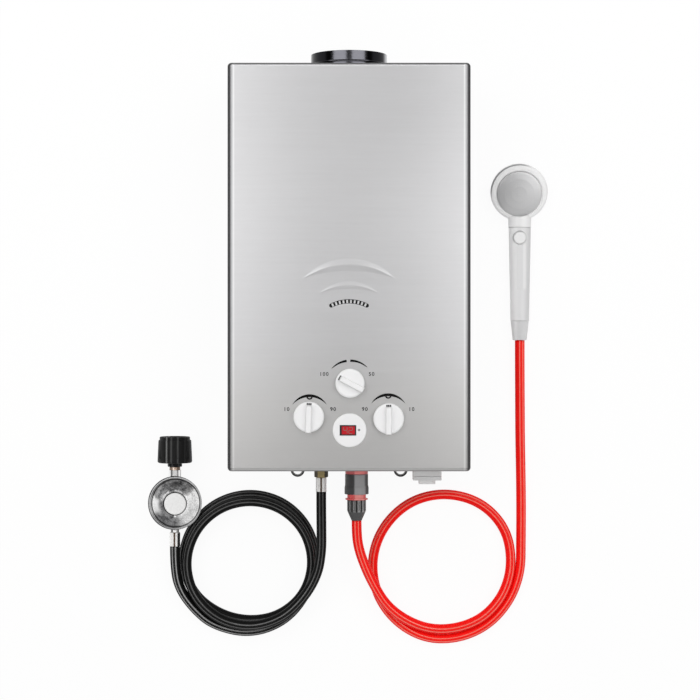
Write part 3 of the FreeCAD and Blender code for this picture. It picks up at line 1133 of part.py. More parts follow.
# ================================================================== write
PARTS = {
    "front_cover": front_cover, "back_plate": back_plate, "casing_screws": casing_screws,
    "sight_grille": sight_grille, "sight_glass": sight_glass,
    "flue_collar": flue_collar, "flue_hood": flue_hood,
    "gas_knob": lambda: knob(GAS_XY, KNOB_R, -2.0),
    "water_knob": lambda: knob(WATER_XY, KNOB_R, 0.0),
    "season_knob": lambda: knob(SEASON_XY, SEASON_R, SEASON_POINTER),
    "gas_spindle": lambda: spindle(GAS_XY, GAS_BOX[5] - 13, -2.0),
    "water_spindle": lambda: spindle(WATER_XY, WATER_BOX[5] - 13, 0.0),
    "season_spindle": lambda: spindle(SEASON_XY, GAS_BOX[5] - 13, SEASON_POINTER),
    "display_bezel": display_bezel, "display_lens": display_lens, "display_board": display_board,
    "gas_valve_body": gas_valve_body, "gas_solenoid": gas_solenoid, "gas_inlet_stub": gas_inlet_stub,
    "burner_manifold": burner_manifold, "burner_rack": burner_rack, "burner_blades": burner_blades,
    "electrodes": electrodes, "spark_module": spark_module,
    "water_valve_body": water_valve_body, "diaphragm_cover": diaphragm_cover,
    "diaphragm": diaphragm, "diaphragm_pushrod": diaphragm_pushrod, "micro_switch": micro_switch,
    "cold_inlet": cold_inlet, "drain_plug": drain_plug, "hot_outlet": hot_outlet,
    "cold_feed_pipe": cold_feed_pipe, "hot_pipe": hot_pipe, "fin_block": fin_block,
    "exchanger_tubes": exchanger_tubes, "combustion_jacket": combustion_jacket,
    "overheat_switch": overheat_switch, "chassis_brackets": chassis_brackets,
    "battery_case": battery_case, "battery_lid": battery_lid, "battery_cells": battery_cells,
    "tap_adaptor": tap_adaptor, "coupler_core": coupler_core, "coupler_sleeve": coupler_sleeve,
    "hose_nut": hose_nut, "gas_hose": gas_hose, "gas_hose_nut": gas_hose_nut,
    "gas_hose_ferrules": gas_hose_ferrules, "regulator_body": regulator_body,
    "regulator_cover": regulator_cover, "regulator_cap": regulator_cap, "qcc_nut": qcc_nut,
    "qcc_nipple": qcc_nipple, "shower_hose": shower_hose, "shower_cone_nut": shower_cone_nut,
    "shower_handle": shower_handle, "shower_head": shower_head,
    "shower_faceplate": shower_faceplate, "shower_button": shower_button,
}

os.makedirs("parts", exist_ok=True)
for name, make in PARTS.items():
    shape = make()
    print("%-18s solids %d valid %s volume %.0f" % (name, len(shape.Solids), shape.isValid(), shape.Volume))
    shape.exportStep("parts/%s.step" % name)
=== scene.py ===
# %% [markdown]
# # A portable gas water heater
#
# The heater is a flat case of brushed steel with three white knobs, a small temperature display, a
# gas hose with its regulator, and a red shower hose with a handset. Its shapes come from a packed
# model, which is called the frame here. This lesson gives every piece its finish, lays the two
# hoses as smooth curves, and adds what is printed on the case. The whole set lies on its back, so
# the camera looks straight down at it.

import json
import math

import bmesh
import bpy
from mathutils import Matrix, Vector

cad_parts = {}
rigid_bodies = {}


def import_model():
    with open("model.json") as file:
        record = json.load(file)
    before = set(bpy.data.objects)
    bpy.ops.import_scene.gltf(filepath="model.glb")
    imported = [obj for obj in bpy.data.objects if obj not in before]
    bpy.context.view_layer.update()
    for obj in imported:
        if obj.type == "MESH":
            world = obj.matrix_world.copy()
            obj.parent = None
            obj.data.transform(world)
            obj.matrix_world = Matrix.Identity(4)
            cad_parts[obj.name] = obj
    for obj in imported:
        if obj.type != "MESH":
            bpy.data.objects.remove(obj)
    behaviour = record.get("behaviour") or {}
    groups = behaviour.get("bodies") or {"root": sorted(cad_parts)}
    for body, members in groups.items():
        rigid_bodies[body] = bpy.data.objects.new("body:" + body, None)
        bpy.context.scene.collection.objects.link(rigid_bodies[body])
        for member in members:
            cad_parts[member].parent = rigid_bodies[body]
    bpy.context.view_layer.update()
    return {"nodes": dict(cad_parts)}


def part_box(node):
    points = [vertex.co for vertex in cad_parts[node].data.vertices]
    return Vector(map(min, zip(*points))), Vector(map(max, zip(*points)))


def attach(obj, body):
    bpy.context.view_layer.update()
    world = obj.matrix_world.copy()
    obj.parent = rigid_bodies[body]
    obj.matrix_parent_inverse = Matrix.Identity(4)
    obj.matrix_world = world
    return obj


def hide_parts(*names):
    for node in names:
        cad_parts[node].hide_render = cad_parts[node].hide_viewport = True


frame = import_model()

# %% [markdown]
# ## Where things are
#
# One millimetre is 0.001 of Blender's units. Places could be typed in as numbers, but then they
# would be wrong as soon as the model changed. So most are read from the boxes of the frame's own
# nodes. The origin is the middle of the casing's back, with +Z out of its front and +Y towards the
# flue.

# %% Places on the casing
MM = 0.001


def middle(node):
    """The middle of a node's box."""
    low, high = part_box(node)
    return (low + high) / 2


COVER_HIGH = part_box("front_cover")[1]
HALF_WIDTH = COVER_HIGH.x
HALF_HEIGHT = COVER_HIGH.y
FACE = 0.165                         # the flat front of the cover
GAS_KNOB = middle("gas_spindle")
WATER_KNOB = middle("water_spindle")
SEASON_KNOB = middle("season_spindle")
DISPLAY = middle("display_bezel")
SPRAY_FACE = middle("shower_faceplate")
REGULATOR = middle("regulator_cap")
print("front at", FACE, "display at", [round(c, 4) for c in DISPLAY])

# %% [markdown]
# ## Objects and their data
#
# Blender keeps what a thing is apart from where it is. A mesh, a lamp, a camera or a text is data,
# and an object gives that data a name and a place. An object is only seen once it is linked to a
# collection of the scene, so one helper makes it and links it.
#
# A second helper turns a curve or a text into a mesh. The curve stands in the scene for a moment,
# Blender works out its shape, and the shape is copied. A mesh is the same everywhere, while a curve
# is worked out again by each program that opens the file.

# %% Add an object
def add_object(name, data):
    """Put some data into the scene as a new object."""
    made = bpy.data.objects.new(name, data)
    bpy.context.scene.collection.objects.link(made)
    return made


def as_mesh(name, curve):
    """The mesh that a curve or a text makes. The curve itself is used up."""
    holder = add_object(name, curve)
    bpy.context.view_layer.update()
    graph = bpy.context.evaluated_depsgraph_get()
    mesh = bpy.data.meshes.new_from_object(holder.evaluated_get(graph))
    bpy.data.objects.remove(holder)
    bpy.data.curves.remove(curve)
    return mesh


# %% [markdown]
# ## The camera
#
# A long lens far away shows an object almost without perspective. The camera hangs 2.58 m above the
# floor, over the middle of the spread-out set, and looks straight down. A camera that isn't turned
# looks along -Z with +Y upwards, which is exactly what is wanted.

# %% Camera
CAMERA_PLACE = (0.0012, -0.1058, 2.580)
FOCAL_PIXELS = 1897.1
IMAGE_PIXELS = 700
SENSOR_MM = 36.0


def add_camera():
    data = bpy.data.cameras.new("camera")
    data.sensor_width = SENSOR_MM
    data.lens = FOCAL_PIXELS / IMAGE_PIXELS * SENSOR_MM
    camera = add_object("camera", data)
    camera.location = CAMERA_PLACE
    bpy.context.scene.camera = camera
    return data.lens


print("lens", round(add_camera(), 1), "mm")

# %% [markdown]
# ## Sums of sockets
#
# A material is a small network: sockets joined by nodes. Written out node by node, even a short sum
# fills a page. So one class wraps an output socket and gives it the operators +, -, *, / and **. A
# sum such as 1 - 0.3 * grain then adds its Math nodes by itself. The operators come in pairs,
# because in 1 - grain the number stands first, and Python then asks the right-hand side for its
# reflected form.

# %% The socket class
class Wire:
    """One output socket of a network, usable in sums."""

    def __init__(self, network, socket):
        self.network = network
        self.socket = socket

    def sum(self, operation, *terms):
        return self.network.node("Math", {"operation": operation}, dict(enumerate(terms)))

    def __add__(self, other):
        return self.sum("ADD", self, other)

    def __radd__(self, other):
        return self.sum("ADD", other, self)

    def __sub__(self, other):
        return self.sum("SUBTRACT", self, other)

    def __rsub__(self, other):
        return self.sum("SUBTRACT", other, self)

    def __mul__(self, other):
        return self.sum("MULTIPLY", self, other)

    def __rmul__(self, other):
        return self.sum("MULTIPLY", other, self)

    def __truediv__(self, other):
        return self.sum("DIVIDE", self, other)

    def __rtruediv__(self, other):
        return self.sum("DIVIDE", other, self)

    def __pow__(self, other):
        return self.sum("POWER", self, other)

    def __rpow__(self, other):
        return self.sum("POWER", other, self)

    def __neg__(self):
        return self.sum("MULTIPLY", self, -1.0)

    def __abs__(self):
        return self.sum("ABSOLUTE", self)

    def least(self, other):
        return self.sum("MINIMUM", self, other)

    def most(self, other):
        return self.sum("MAXIMUM", self, other)

    def sine(self):
        return self.sum("SINE", self)

    def bearing(self, other):
        """The angle, in radians, at which a point stands that is self across and other ahead."""
        return self.sum("ARCTAN2", self, other)

    def hypot(self, other):
        """How far away a point is that is self across and other ahead."""
        return (self * self + other * other) ** 0.5


print("a Wire can be added, subtracted, multiplied, divided and raised to a power")

# %% [markdown]
# ## Networks and finishes
#
# A network holds the nodes of one material, or of the world. One method adds any node: it takes the
# node's type, then its settings, then the values or links of its sockets. The short methods below
# it name what is needed again and again: where a point is, which way the surface faces, a soft step
# between two values, a line, and a mix of two colours. Colours go through the Mix node, because a
# Math node would turn them grey.

# %% The network class
class Network:
    """The nodes of one material or world, and short names for the usual ones."""

    def __init__(self, tree):
        self.tree = tree
        self.kept = {}

    def plug(self, socket, value):
        """Link a Wire to a socket, or set the socket to a plain value."""
        if isinstance(value, Wire):
            self.tree.links.new(value.socket, socket)
        elif socket.type == "RGBA" and len(value) == 3:
            socket.default_value = (*value, 1.0)
        else:
            socket.default_value = value

    def node(self, kind, settings=None, sockets=None, output=0):
        """Add any node, and hand back one of its outputs."""
        made = self.tree.nodes.new("ShaderNode" + kind)
        for name, value in (settings or {}).items():
            setattr(made, name, value)
        for name, value in (sockets or {}).items():
            self.plug(made.inputs[name], value)
        return Wire(self, made.outputs[output])

    def once(self, name, make):
        """A Wire that several sums share is made only once."""
        if name not in self.kept:
            self.kept[name] = make()
        return self.kept[name]

    def part(self, vector, letter):
        """The X, Y or Z of a vector or a colour."""
        return self.node("SeparateXYZ", {}, {"Vector": vector}, letter)

    @property
    def place(self):
        """Where a point is, counted from its object's own origin."""
        return self.once("place", lambda: self.node("TexCoord", {}, {}, "Object"))

    def axis(self, letter):
        """Where a point is along one axis, in metres."""
        return self.once(letter, lambda: self.part(self.place, letter))

    def facing(self, letter):
        """One part of the surface's normal, which says what way it faces."""
        normal = lambda: self.node("NewGeometry", {}, {}, "Normal")
        return self.once("facing" + letter, lambda: self.part(normal(), letter))

    def step(self, value, low, high):
        """0 below low, 1 above high, and smooth between them."""
        return self.node("MapRange", {"interpolation_type": "SMOOTHSTEP"},
                         {"Value": value, "From Min": low, "From Max": high})

    def line(self, value, place, half):
        """1 where a value is at a place, and 0 further from it than half the line's width."""
        return 1 - self.step(abs(value - place), 0.4 * half, half)

    def mix(self, factor, first, second):
        """The first colour where the factor is 0, and the second where it is 1."""
        return self.node("Mix", {"data_type": "RGBA"}, {0: factor, 6: first, 7: second}, 2)


print("networks are ready to be filled")

# %% [markdown]
# A finish is a network with the Principled shader. Constants go straight onto the shader's own
# sockets, written as finish["Roughness"] = 0.4, and a Wire given the same way is linked instead. It
# adds what only surfaces need: noise, rounded edges, wear and a bump.
#
# Rounded edges deserve a word. The solids have sharp edges, and on real things none are: each
# catches a fine highlight. The Bevel node gives the normal as if they were rounded. How far that
# normal leans from the true one tells where an edge is, and so where a finish wears off first.

# %% The finish class
class Finish(Network):
    """A material, and the few ways in which this set's finishes vary over a surface."""

    def __init__(self, name, colour, rough, **constants):
        self.material = bpy.data.materials.new(name)
        self.material.use_nodes = True
        super().__init__(self.material.node_tree)
        self.shader = self.tree.nodes["Principled BSDF"]
        self["Base Color"] = colour
        self["Roughness"] = rough
        for socket, value in constants.items():
            self[socket.replace("_", " ")] = value

    def __setitem__(self, name, value):
        self.plug(self.shader.inputs[name], value)

    def noise(self, per_metre, stretch=(1, 1, 1), detail=2.0, rough=0.5):
        """Soft random patches, so many to a metre, and stretch times as many along an axis."""
        spot = self.node("Mapping", {}, {"Vector": self.place, "Scale": stretch})
        return self.node("TexNoise", {}, {"Vector": spot, "Scale": per_metre, "Detail": detail,
                                          "Roughness": rough})

    def rounded(self, radius):
        """The normal as it would be with every sharp edge rounded off."""
        return self.once("rounded",
                         lambda: self.node("Bevel", {"samples": 4}, {"Radius": radius}))

    def wear(self, radius):
        """1 on the edges and 0 on the flats: how far the rounded normal leans."""
        true = self.node("NewGeometry", {}, {}, "Normal")
        along = self.node("VectorMath", {"operation": "DOT_PRODUCT"},
                          {0: self.rounded(radius), 1: true}, "Value")
        return self.step(1 - along, 0.01, 0.25)

    def leaned(self, share, radius):
        """The rounded normal, leaned by a share of the way towards +Z."""
        between = self.node("Mix", {"data_type": "VECTOR"},
                            {0: share, 4: self.rounded(radius), 5: (0.0, 0.0, 1.0)}, 1)
        return self.node("VectorMath", {"operation": "NORMALIZE"}, {0: between})

    def bump(self, height, deep, strength=1.0, normal=None):
        """Shade the surface as if it rose by deep metres wherever height is 1."""
        sockets = {"Height": height, "Distance": deep, "Strength": strength}
        if normal:
            sockets["Normal"] = normal
        self["Normal"] = self.node("Bump", {}, sockets)


def grey(level, blue=0.0):
    """A grey colour. Cold metals and plastics have a trace more blue."""
    return (level, level, level + blue)


print("finishes are ready to be filled, a cold grey is", grey(0.5, 0.005))

# %% [markdown]
# ## Brushed steel
#
# The cover is stainless sheet, brushed sideways with an abrasive belt. The scratches are far finer
# than anything the camera can see, but together they spread a reflection up and down. An
# anisotropic shader could do that, but many programs that show an exported model leave it out.
# Noise that is stretched along X does it as well: it changes slowly along the sheet and quickly
# across it. The same noise moves the roughness, a little of the colour and a very shallow bump.
#
# A pressed sheet is never dead flat. It is crowned by a few tenths of a millimetre, which a gentle
# bump over the whole sheet gives. Each bend gets a band of painted shade, darkest at the edge, and
# a painted highlight line runs just inside each side bend. The two crescents at the window are
# pressed so shallowly that the rolled grain hides most of their slope. So on the flat front the
# normal is leaned towards +Z, which makes a pressing look softer. Towards its foot the sheet is a
# little warmer in colour, and near the flue, more so on the right, it gets painted shade.

# %% Cover finish
# A bend's painted shade is dark up to the first distance from the edge, and gone at the second.
SIDE_BAND = (2.8 * MM, 7.0 * MM)
TOP_BAND = (1.3 * MM, 2.3 * MM)
FOOT_BAND = (1.0 * MM, 2.0 * MM)
PRESSED_DEEP = 5.2 * MM              # a bend's painted shade stops this far behind the face
# a painted highlight line, this far in from each side edge, and half its width
GLINT_AT, GLINT_HALF = 8.0 * MM, 1.3 * MM
CROWN = 0.10                         # rise of the crowned sheet, per metre squared
SOFTENED = 0.72                      # how much of a shallow slope the grain hides
FLAT_FROM_SIDE = (9.0 * MM, 12.0 * MM)
FLAT_FROM_END = (6.0 * MM, 9.0 * MM)
FLAT_BEHIND_FACE = (0.6 * MM, 0.2 * MM)
# the grey of the painted shade on the bends and near the flue
PAINTED_SHADE_GREY = grey(0.035, 0.002)


def softened_normal(steel, from_side):
    """The rounded normal, leaned towards +Z over the flat front."""
    inside = steel.step(from_side, *FLAT_FROM_SIDE)
    between = steel.step(HALF_HEIGHT - abs(steel.axis("Y")), *FLAT_FROM_END)
    front = steel.step(steel.axis("Z"), FACE - FLAT_BEHIND_FACE[0], FACE - FLAT_BEHIND_FACE[1])
    return steel.leaned(SOFTENED * inside * between * front, 1.1 * MM)


def brushed_cover():
    steel = Finish("brushed_cover", grey(0.56, 0.005), 0.34, Metallic=1.0)
    fine = steel.noise(1.0, (60, 5200, 5200), detail=3.0, rough=0.6)
    broad = steel.noise(1.0, (9, 260, 260))
    tone = 0.65 * fine + 0.35 * broad
    from_side = HALF_WIDTH - abs(steel.axis("X"))
    side = 1 - steel.step(from_side, *SIDE_BAND)
    top = 1 - steel.step(HALF_HEIGHT - steel.axis("Y"), *TOP_BAND)
    foot = 1 - steel.step(HALF_HEIGHT + steel.axis("Y"), *FOOT_BAND)
    pressed = 1 - steel.step(FACE - steel.axis("Z"), PRESSED_DEEP, 1.5 * PRESSED_DEEP)
    # painted shade: a dark band along each bend of the sheet
    bend = side.most(top).most(0.8 * foot) * pressed
    sheet = steel.mix(tone, grey(0.512, 0.009), grey(0.612, 0.009))
    warm = steel.mix(0.5 * steel.step(-steel.axis("Y"), 0.08, 0.20), sheet, (0.56, 0.552, 0.535))
    # painted shade over the top of the sheet, towards the flue, stronger on the right
    top_shade_share = 0.08 + 0.09 * steel.step(steel.axis("X"), -0.02, 0.10)
    top_shaded = steel.mix(steel.step(steel.axis("Y"), 0.04, 0.24) * top_shade_share, warm, PAINTED_SHADE_GREY)
    # a painted highlight line just inside each side bend
    painted_glint = steel.mix(0.3 * steel.line(from_side, GLINT_AT, GLINT_HALF), top_shaded, grey(0.9))
    steel["Base Color"] = steel.mix(0.93 * bend, painted_glint, PAINTED_SHADE_GREY)
    steel["Roughness"] = 0.30 + 0.10 * tone
    crown = CROWN * (steel.axis("X") * steel.axis("X") + 0.25 * steel.axis("Y") * steel.axis("Y"))
    steel.bump(0.00002 * fine - crown, 1.0, 1.0, softened_normal(steel, from_side))
    return steel


COVER_STEEL = brushed_cover()
print("cover finish has", len(COVER_STEEL.tree.nodes), "nodes")

# %% [markdown]
# ## Galvanised sheet
#
# The back plate and the sheet brackets are zinc plated. Zinc freezes in flat crystals, each with a
# grey of its own. A picture of them would show its seams, but the cells of a Voronoi texture have
# just that look: one random colour per cell, of which the red part serves as a shade. Two of the
# plate's tabs show below the casing. They are nearly black on the rim and a darker grey round the
# screw hole, and the distance from the hole's middle is all that the finish needs to know.

# %% Galvanised sheet
CRYSTALS_PER_METRE = 120.0
TAB_ACROSS, TAB_UP, TAB_INNER = 70.0 * MM, -268.7 * MM, 7.0 * MM


def plate_steel():
    zinc = Finish("plate_steel", grey(0.5), 0.4, Metallic=1.0)
    crystal = zinc.node("TexVoronoi", {}, {"Vector": zinc.place, "Scale": CRYSTALS_PER_METRE},
                        "Color")
    shade = zinc.part(crystal, "X")
    streaks = zinc.noise(40.0, (1, 6, 1), detail=4.0)
    zinc.shade = zinc.mix(0.6 * shade + 0.4 * streaks, (0.40, 0.41, 0.42), (0.60, 0.61, 0.62))
    zinc["Base Color"] = zinc.shade
    zinc["Roughness"] = 0.30 + 0.22 * shade
    zinc.bump(zinc.noise(900.0), 0.02 * MM, 0.5, zinc.rounded(0.3 * MM))
    return zinc


def tabbed_plate():
    """The back plate, with its two tabs below the casing."""
    plate = plate_steel()
    across = abs(plate.axis("X")) - TAB_ACROSS
    along = plate.axis("Y") - TAB_UP
    # the tabs are nearly black on the rim and a darker grey round the screw hole
    rim = plate.step(across.hypot(along), TAB_INNER, TAB_INNER + 0.8 * MM)
    beyond = plate.step(-plate.axis("Y"), HALF_HEIGHT - 1.0 * MM, HALF_HEIGHT)
    dark = plate.mix(rim, grey(0.30), grey(0.05))
    plate["Base Color"] = plate.mix(beyond, plate.shade, dark)
    return plate


PLATE_STEEL = plate_steel()
TABBED_PLATE = tabbed_plate()
print("zinc crystals are about", round(1 / CRYSTALS_PER_METRE / MM, 1), "mm wide")

# %% [markdown]
# ## Polished and heated steel
#
# What a surface faces is one more thing that a finish can read. The X part of the normal is 0 on
# the front of a tube, and 1 or -1 on its flanks. Several finishes here paint the flanks darker, as
# painted shade, and the front or one side lighter, as painted light. The flue collar shows it
# best: a dark mirror with faint streaks round it, painted nearly black on its flanks, with a
# painted highlight stripe at its right edge.
#
# Screws and small polished parts are smeared by fingers. The burner's blades turn straw and blue
# where the flame has stood, which a step along Y gives, with some noise added to its edge.

# %% Polished and heated steel
def flue_steel():
    dark = Finish("flue_steel", grey(0.13, 0.01), 0.16, Metallic=1.0)
    streaks = dark.noise(1.0, (90, 2600, 90), detail=3.0)
    # painted shade: the flanks are painted nearly black
    blackened = dark.step(abs(dark.facing("X")), 0.40, 0.50)
    # a painted highlight stripe at the right edge
    painted_edge_highlight = dark.step(dark.facing("X"), 0.88, 0.99)
    tint = dark.mix(streaks, grey(0.10, 0.014), grey(0.16, 0.018))
    flank_shaded = dark.mix(blackened, tint, grey(0.015, 0.002))
    dark["Base Color"] = dark.mix(painted_edge_highlight, flank_shaded, grey(0.45, 0.02))
    dark["Roughness"] = 0.12 + 0.12 * streaks
    dark.bump(streaks, 0.01 * MM, 0.6, dark.rounded(0.4 * MM))
    return dark


def polished_steel():
    bright = Finish("polished_steel", grey(0.62, 0.01), 0.18, Metallic=1.0)
    smear = bright.noise(500.0, detail=4.0)
    bright["Base Color"] = bright.mix(smear, grey(0.52, 0.01), grey(0.70, 0.01))
    bright["Roughness"] = 0.14 + 0.14 * smear
    bright.bump(smear, 0.01 * MM, 0.5, bright.rounded(0.25 * MM))
    return bright


def burner_steel():
    hot = Finish("burner_steel", grey(0.4), 0.35, Metallic=1.0)
    cloud = hot.noise(60.0, detail=3.0)
    heat = hot.step(hot.axis("Y") + 0.03 * cloud, -0.02, 0.03)
    straw = hot.mix(cloud, (0.46, 0.36, 0.22), (0.28, 0.24, 0.34))
    hot["Base Color"] = hot.mix(heat, grey(0.46, 0.02), straw)
    hot["Roughness"] = 0.25 + 0.2 * cloud
    hot.bump(hot.noise(700.0), 0.01 * MM, 0.5, hot.rounded(0.25 * MM))
    return hot


SHEET_METALS = {"plate_steel": PLATE_STEEL, "polished_steel": polished_steel(),
                "burner_steel": burner_steel()}
FLUE_STEEL = flue_steel()
print("sheet metals:", ", ".join(SHEET_METALS))

# %% [markdown]
# ## Turned brass
#
# Fittings are turned on a lathe, and its tool leaves fine rings. They are a sine of the distance
# along the axis. Every fitting here lies along Y, so one function with a dark and a light colour
# makes them all, in brass or plated. The union nut under the casing is a hexagon: its front flat is
# plain brass, and the flats beside it are darkened with painted shade, which the normal's X part
# tells apart.

# %% Turned brass
LATHE_PITCH = 0.35 * MM
UNION_BROWN = (0.30, 0.235, 0.12)
FLANK_SHADE = (0.045, 0.036, 0.022)


def turned_metal(name, low, high, rough):
    """Brass or plated brass, with rings along Y and brighter where handling wears it."""
    metal = Finish(name, low, rough, Metallic=1.0)
    rings = (metal.axis("Y") * (math.tau / LATHE_PITCH)).sine() * 0.5 + 0.5
    stain = metal.noise(260.0, detail=4.0, rough=0.6)
    worn = metal.wear(0.3 * MM)
    metal["Base Color"] = metal.mix(worn.most(stain * 0.8), low, high)
    metal["Roughness"] = rough + 0.12 * stain - 0.05 * worn
    metal.bump(0.4 * rings + 0.6 * stain, 0.012 * MM, 0.6, metal.rounded(0.3 * MM))
    return metal


def union_brass():
    metal = turned_metal("union_brass", UNION_BROWN, (0.44, 0.35, 0.18), 0.34)
    front_brass = metal.mix(metal.noise(90.0), UNION_BROWN, (0.40, 0.32, 0.16))
    # painted shade on the flats beside the front one
    shaded_flats = metal.step(abs(metal.facing("X")), 0.25, 0.7)
    metal["Base Color"] = metal.mix(shaded_flats, front_brass, FLANK_SHADE)
    return metal


BRASS = turned_metal("brass", (0.36, 0.27, 0.13), (0.58, 0.45, 0.24), 0.24)
PLATED_BRASS = turned_metal("plated_brass", (0.60, 0.57, 0.55), (0.82, 0.79, 0.77), 0.16)
UNION_BRASS = union_brass()
print("lathe rings are", LATHE_PITCH / MM, "mm apart")

# %% [markdown]
# ## Crimped sleeves and the tank nipple
#
# A crimped sleeve holds each end of the gas hose. It is rolled from sheet and soldered shut. The
# brown line along its front is a painted reflection of the dark gap between the lamps. Two sleeves
# share one material: the one at the regulator gets painted shade on its right flank, and the other
# on its left. A step on X tells the two apart, since they lie far from each other. Its plating is
# dull, so Metallic is low and most of the light it sends back is diffuse.
#
# The nipple that goes into the tank is browned by grease and thread sealant. Its front is painted
# lighter, as painted light, and a painted highlight line runs along it.

# %% Crimped sleeves and the tank nipple
GAP_REFLECTION_BROWN = (0.085, 0.05, 0.03)
NIPPLE_HIGHLIGHT_AT, NIPPLE_HIGHLIGHT_HALF = -3.2 * MM, 1.8 * MM


def crimped_ferrule():
    plated = Finish("crimped_ferrule", (0.90, 0.89, 0.88), 0.38, Metallic=0.25)
    smear = plated.noise(420.0, (1, 0.3, 1), detail=3.0)
    # a painted reflection of the dark gap between the lamps, as a brown line along the front
    gap_line = 1 - plated.step(abs(plated.facing("X")), 0.10, 0.26)
    far = plated.step(-plated.axis("X"), 0.12, 0.16)
    # painted shade on the left flank of the upper sleeve, and on the right flank of the one at the
    # regulator
    left = plated.step(-plated.facing("X"), 0.86, 0.97) * (1 - far)
    right = plated.step(plated.facing("X"), 0.46, 0.66) * far
    bright = plated.mix(smear, (0.88, 0.87, 0.86), (1.0, 0.99, 0.98))
    gap_lined = plated.mix(gap_line, bright, GAP_REFLECTION_BROWN)
    plated["Base Color"] = plated.mix((0.75 * left).most(right), gap_lined, grey(0.012))
    plated["Roughness"] = 0.34 + 0.12 * smear
    plated.bump(smear, 0.02 * MM, 0.4, plated.rounded(0.3 * MM))
    return plated


def hot_brass():
    brown = Finish("hot_brass", (0.10, 0.05, 0.03), 0.32, Metallic=1.0)
    cloud = brown.noise(260.0, detail=4.0, rough=0.6)
    across = brown.axis("X") - REGULATOR.x
    front = 1 - brown.step(abs(brown.facing("X")), 0.3, 0.9)
    greasy = brown.mix(cloud, (0.12, 0.085, 0.065), (0.26, 0.19, 0.14))
    # painted light: the front is lighter than the flanks
    lit_colour = brown.mix(0.75 * front, greasy, (0.62, 0.46, 0.36))
    # a painted highlight line along the nipple
    nipple_highlight = 0.8 * brown.line(across, NIPPLE_HIGHLIGHT_AT, NIPPLE_HIGHLIGHT_HALF)
    brown["Base Color"] = brown.mix(nipple_highlight, lit_colour, (0.95, 0.80, 0.70))
    brown["Roughness"] = 0.28 + 0.2 * cloud
    brown.bump(cloud, 0.02 * MM, 0.5, brown.rounded(0.3 * MM))
    return brown


FERRULE_PLATING = crimped_ferrule()
NIPPLE_BRASS = hot_brass()
print("sleeves and nipple have", len(FERRULE_PLATING.tree.nodes), "and",
      len(NIPPLE_BRASS.tree.nodes), "nodes")

# %% [markdown]
# ## Copper and castings
#
# The heat exchanger's copper goes brown where it has been hot, which is towards the flue, and the
# border between fresh and brown copper wanders with a noise. The valve bodies are cast: grainy, a
# little cloudy where the melt flowed, and lighter on their worn edges.

# %% Copper and castings
def copper():
    red = Finish("copper", (0.6, 0.3, 0.2), 0.3, Metallic=1.0)
    cloud = red.noise(45.0, detail=5.0, rough=0.6)
    heat = red.step(red.axis("Y") + 0.06 * cloud, 0.03, 0.17)
    fresh = red.mix(cloud, (0.66, 0.32, 0.19), (0.48, 0.20, 0.12))
    red["Base Color"] = red.mix(0.6 * heat, fresh, (0.20, 0.085, 0.06))
    red["Roughness"] = 0.22 + 0.25 * cloud
    red.bump(red.noise(600.0), 0.015 * MM, 0.5, red.rounded(0.3 * MM))
    return red


def cast_alloy():
    cast = Finish("cast_alloy", grey(0.5), 0.5, Metallic=1.0)
    grain = cast.noise(1400.0, detail=3.0, rough=0.7)
    flow = cast.noise(70.0, detail=3.0)
    worn = cast.wear(0.5 * MM)
    dull = cast.mix(flow, grey(0.36, 0.01), grey(0.50, 0.01))
    cast["Base Color"] = cast.mix(worn, dull, grey(0.66, 0.01))
    cast["Roughness"] = 0.48 + 0.18 * grain - 0.15 * worn
    cast.bump(grain, 0.06 * MM, 0.7, cast.rounded(0.5 * MM))
    return cast


TURNED_METALS = {"brass": BRASS, "plated_brass": PLATED_BRASS, "copper": copper(),
                 "cast_alloy": cast_alloy()}
print("turned and cast metals:", ", ".join(TURNED_METALS))

# %% [markdown]
# ## The regulator's disc
#
# This disc is die cast and then tumbled, which leaves it mottled: light patches beside dark ones.
# Two noises of different size, added and stepped, give patches with uneven borders.
#
# To the right a broad field is painted almost white, and so is a narrow one to the left: painted
# highlights. A polished metal shows what is around it, and would be dark there wherever the studio
# is dark. So Metallic goes down in these fields, the bump gets weaker, and the normal is leaned
# towards +Z, while the two noises still show through a little. The light patches are also painted
# lighter on the upper half of the disc than on the lower, as painted light. The rim is rolled
# over, with one dull ring and dark seams, and these depend only on the distance from the disc's
# middle.

# %% Regulator finish
DULL_RING = (34.2 * MM, 1.7 * MM)    # a place from the middle, and half a width
RIM_SEAMS = ((36.4 * MM, 1.2 * MM), (32.0 * MM, 1.3 * MM), (15.2 * MM, 1.0 * MM))
VENT_BELOW = 16.4 * MM
VENT_EDGE = (1.2 * MM, 2.0 * MM)


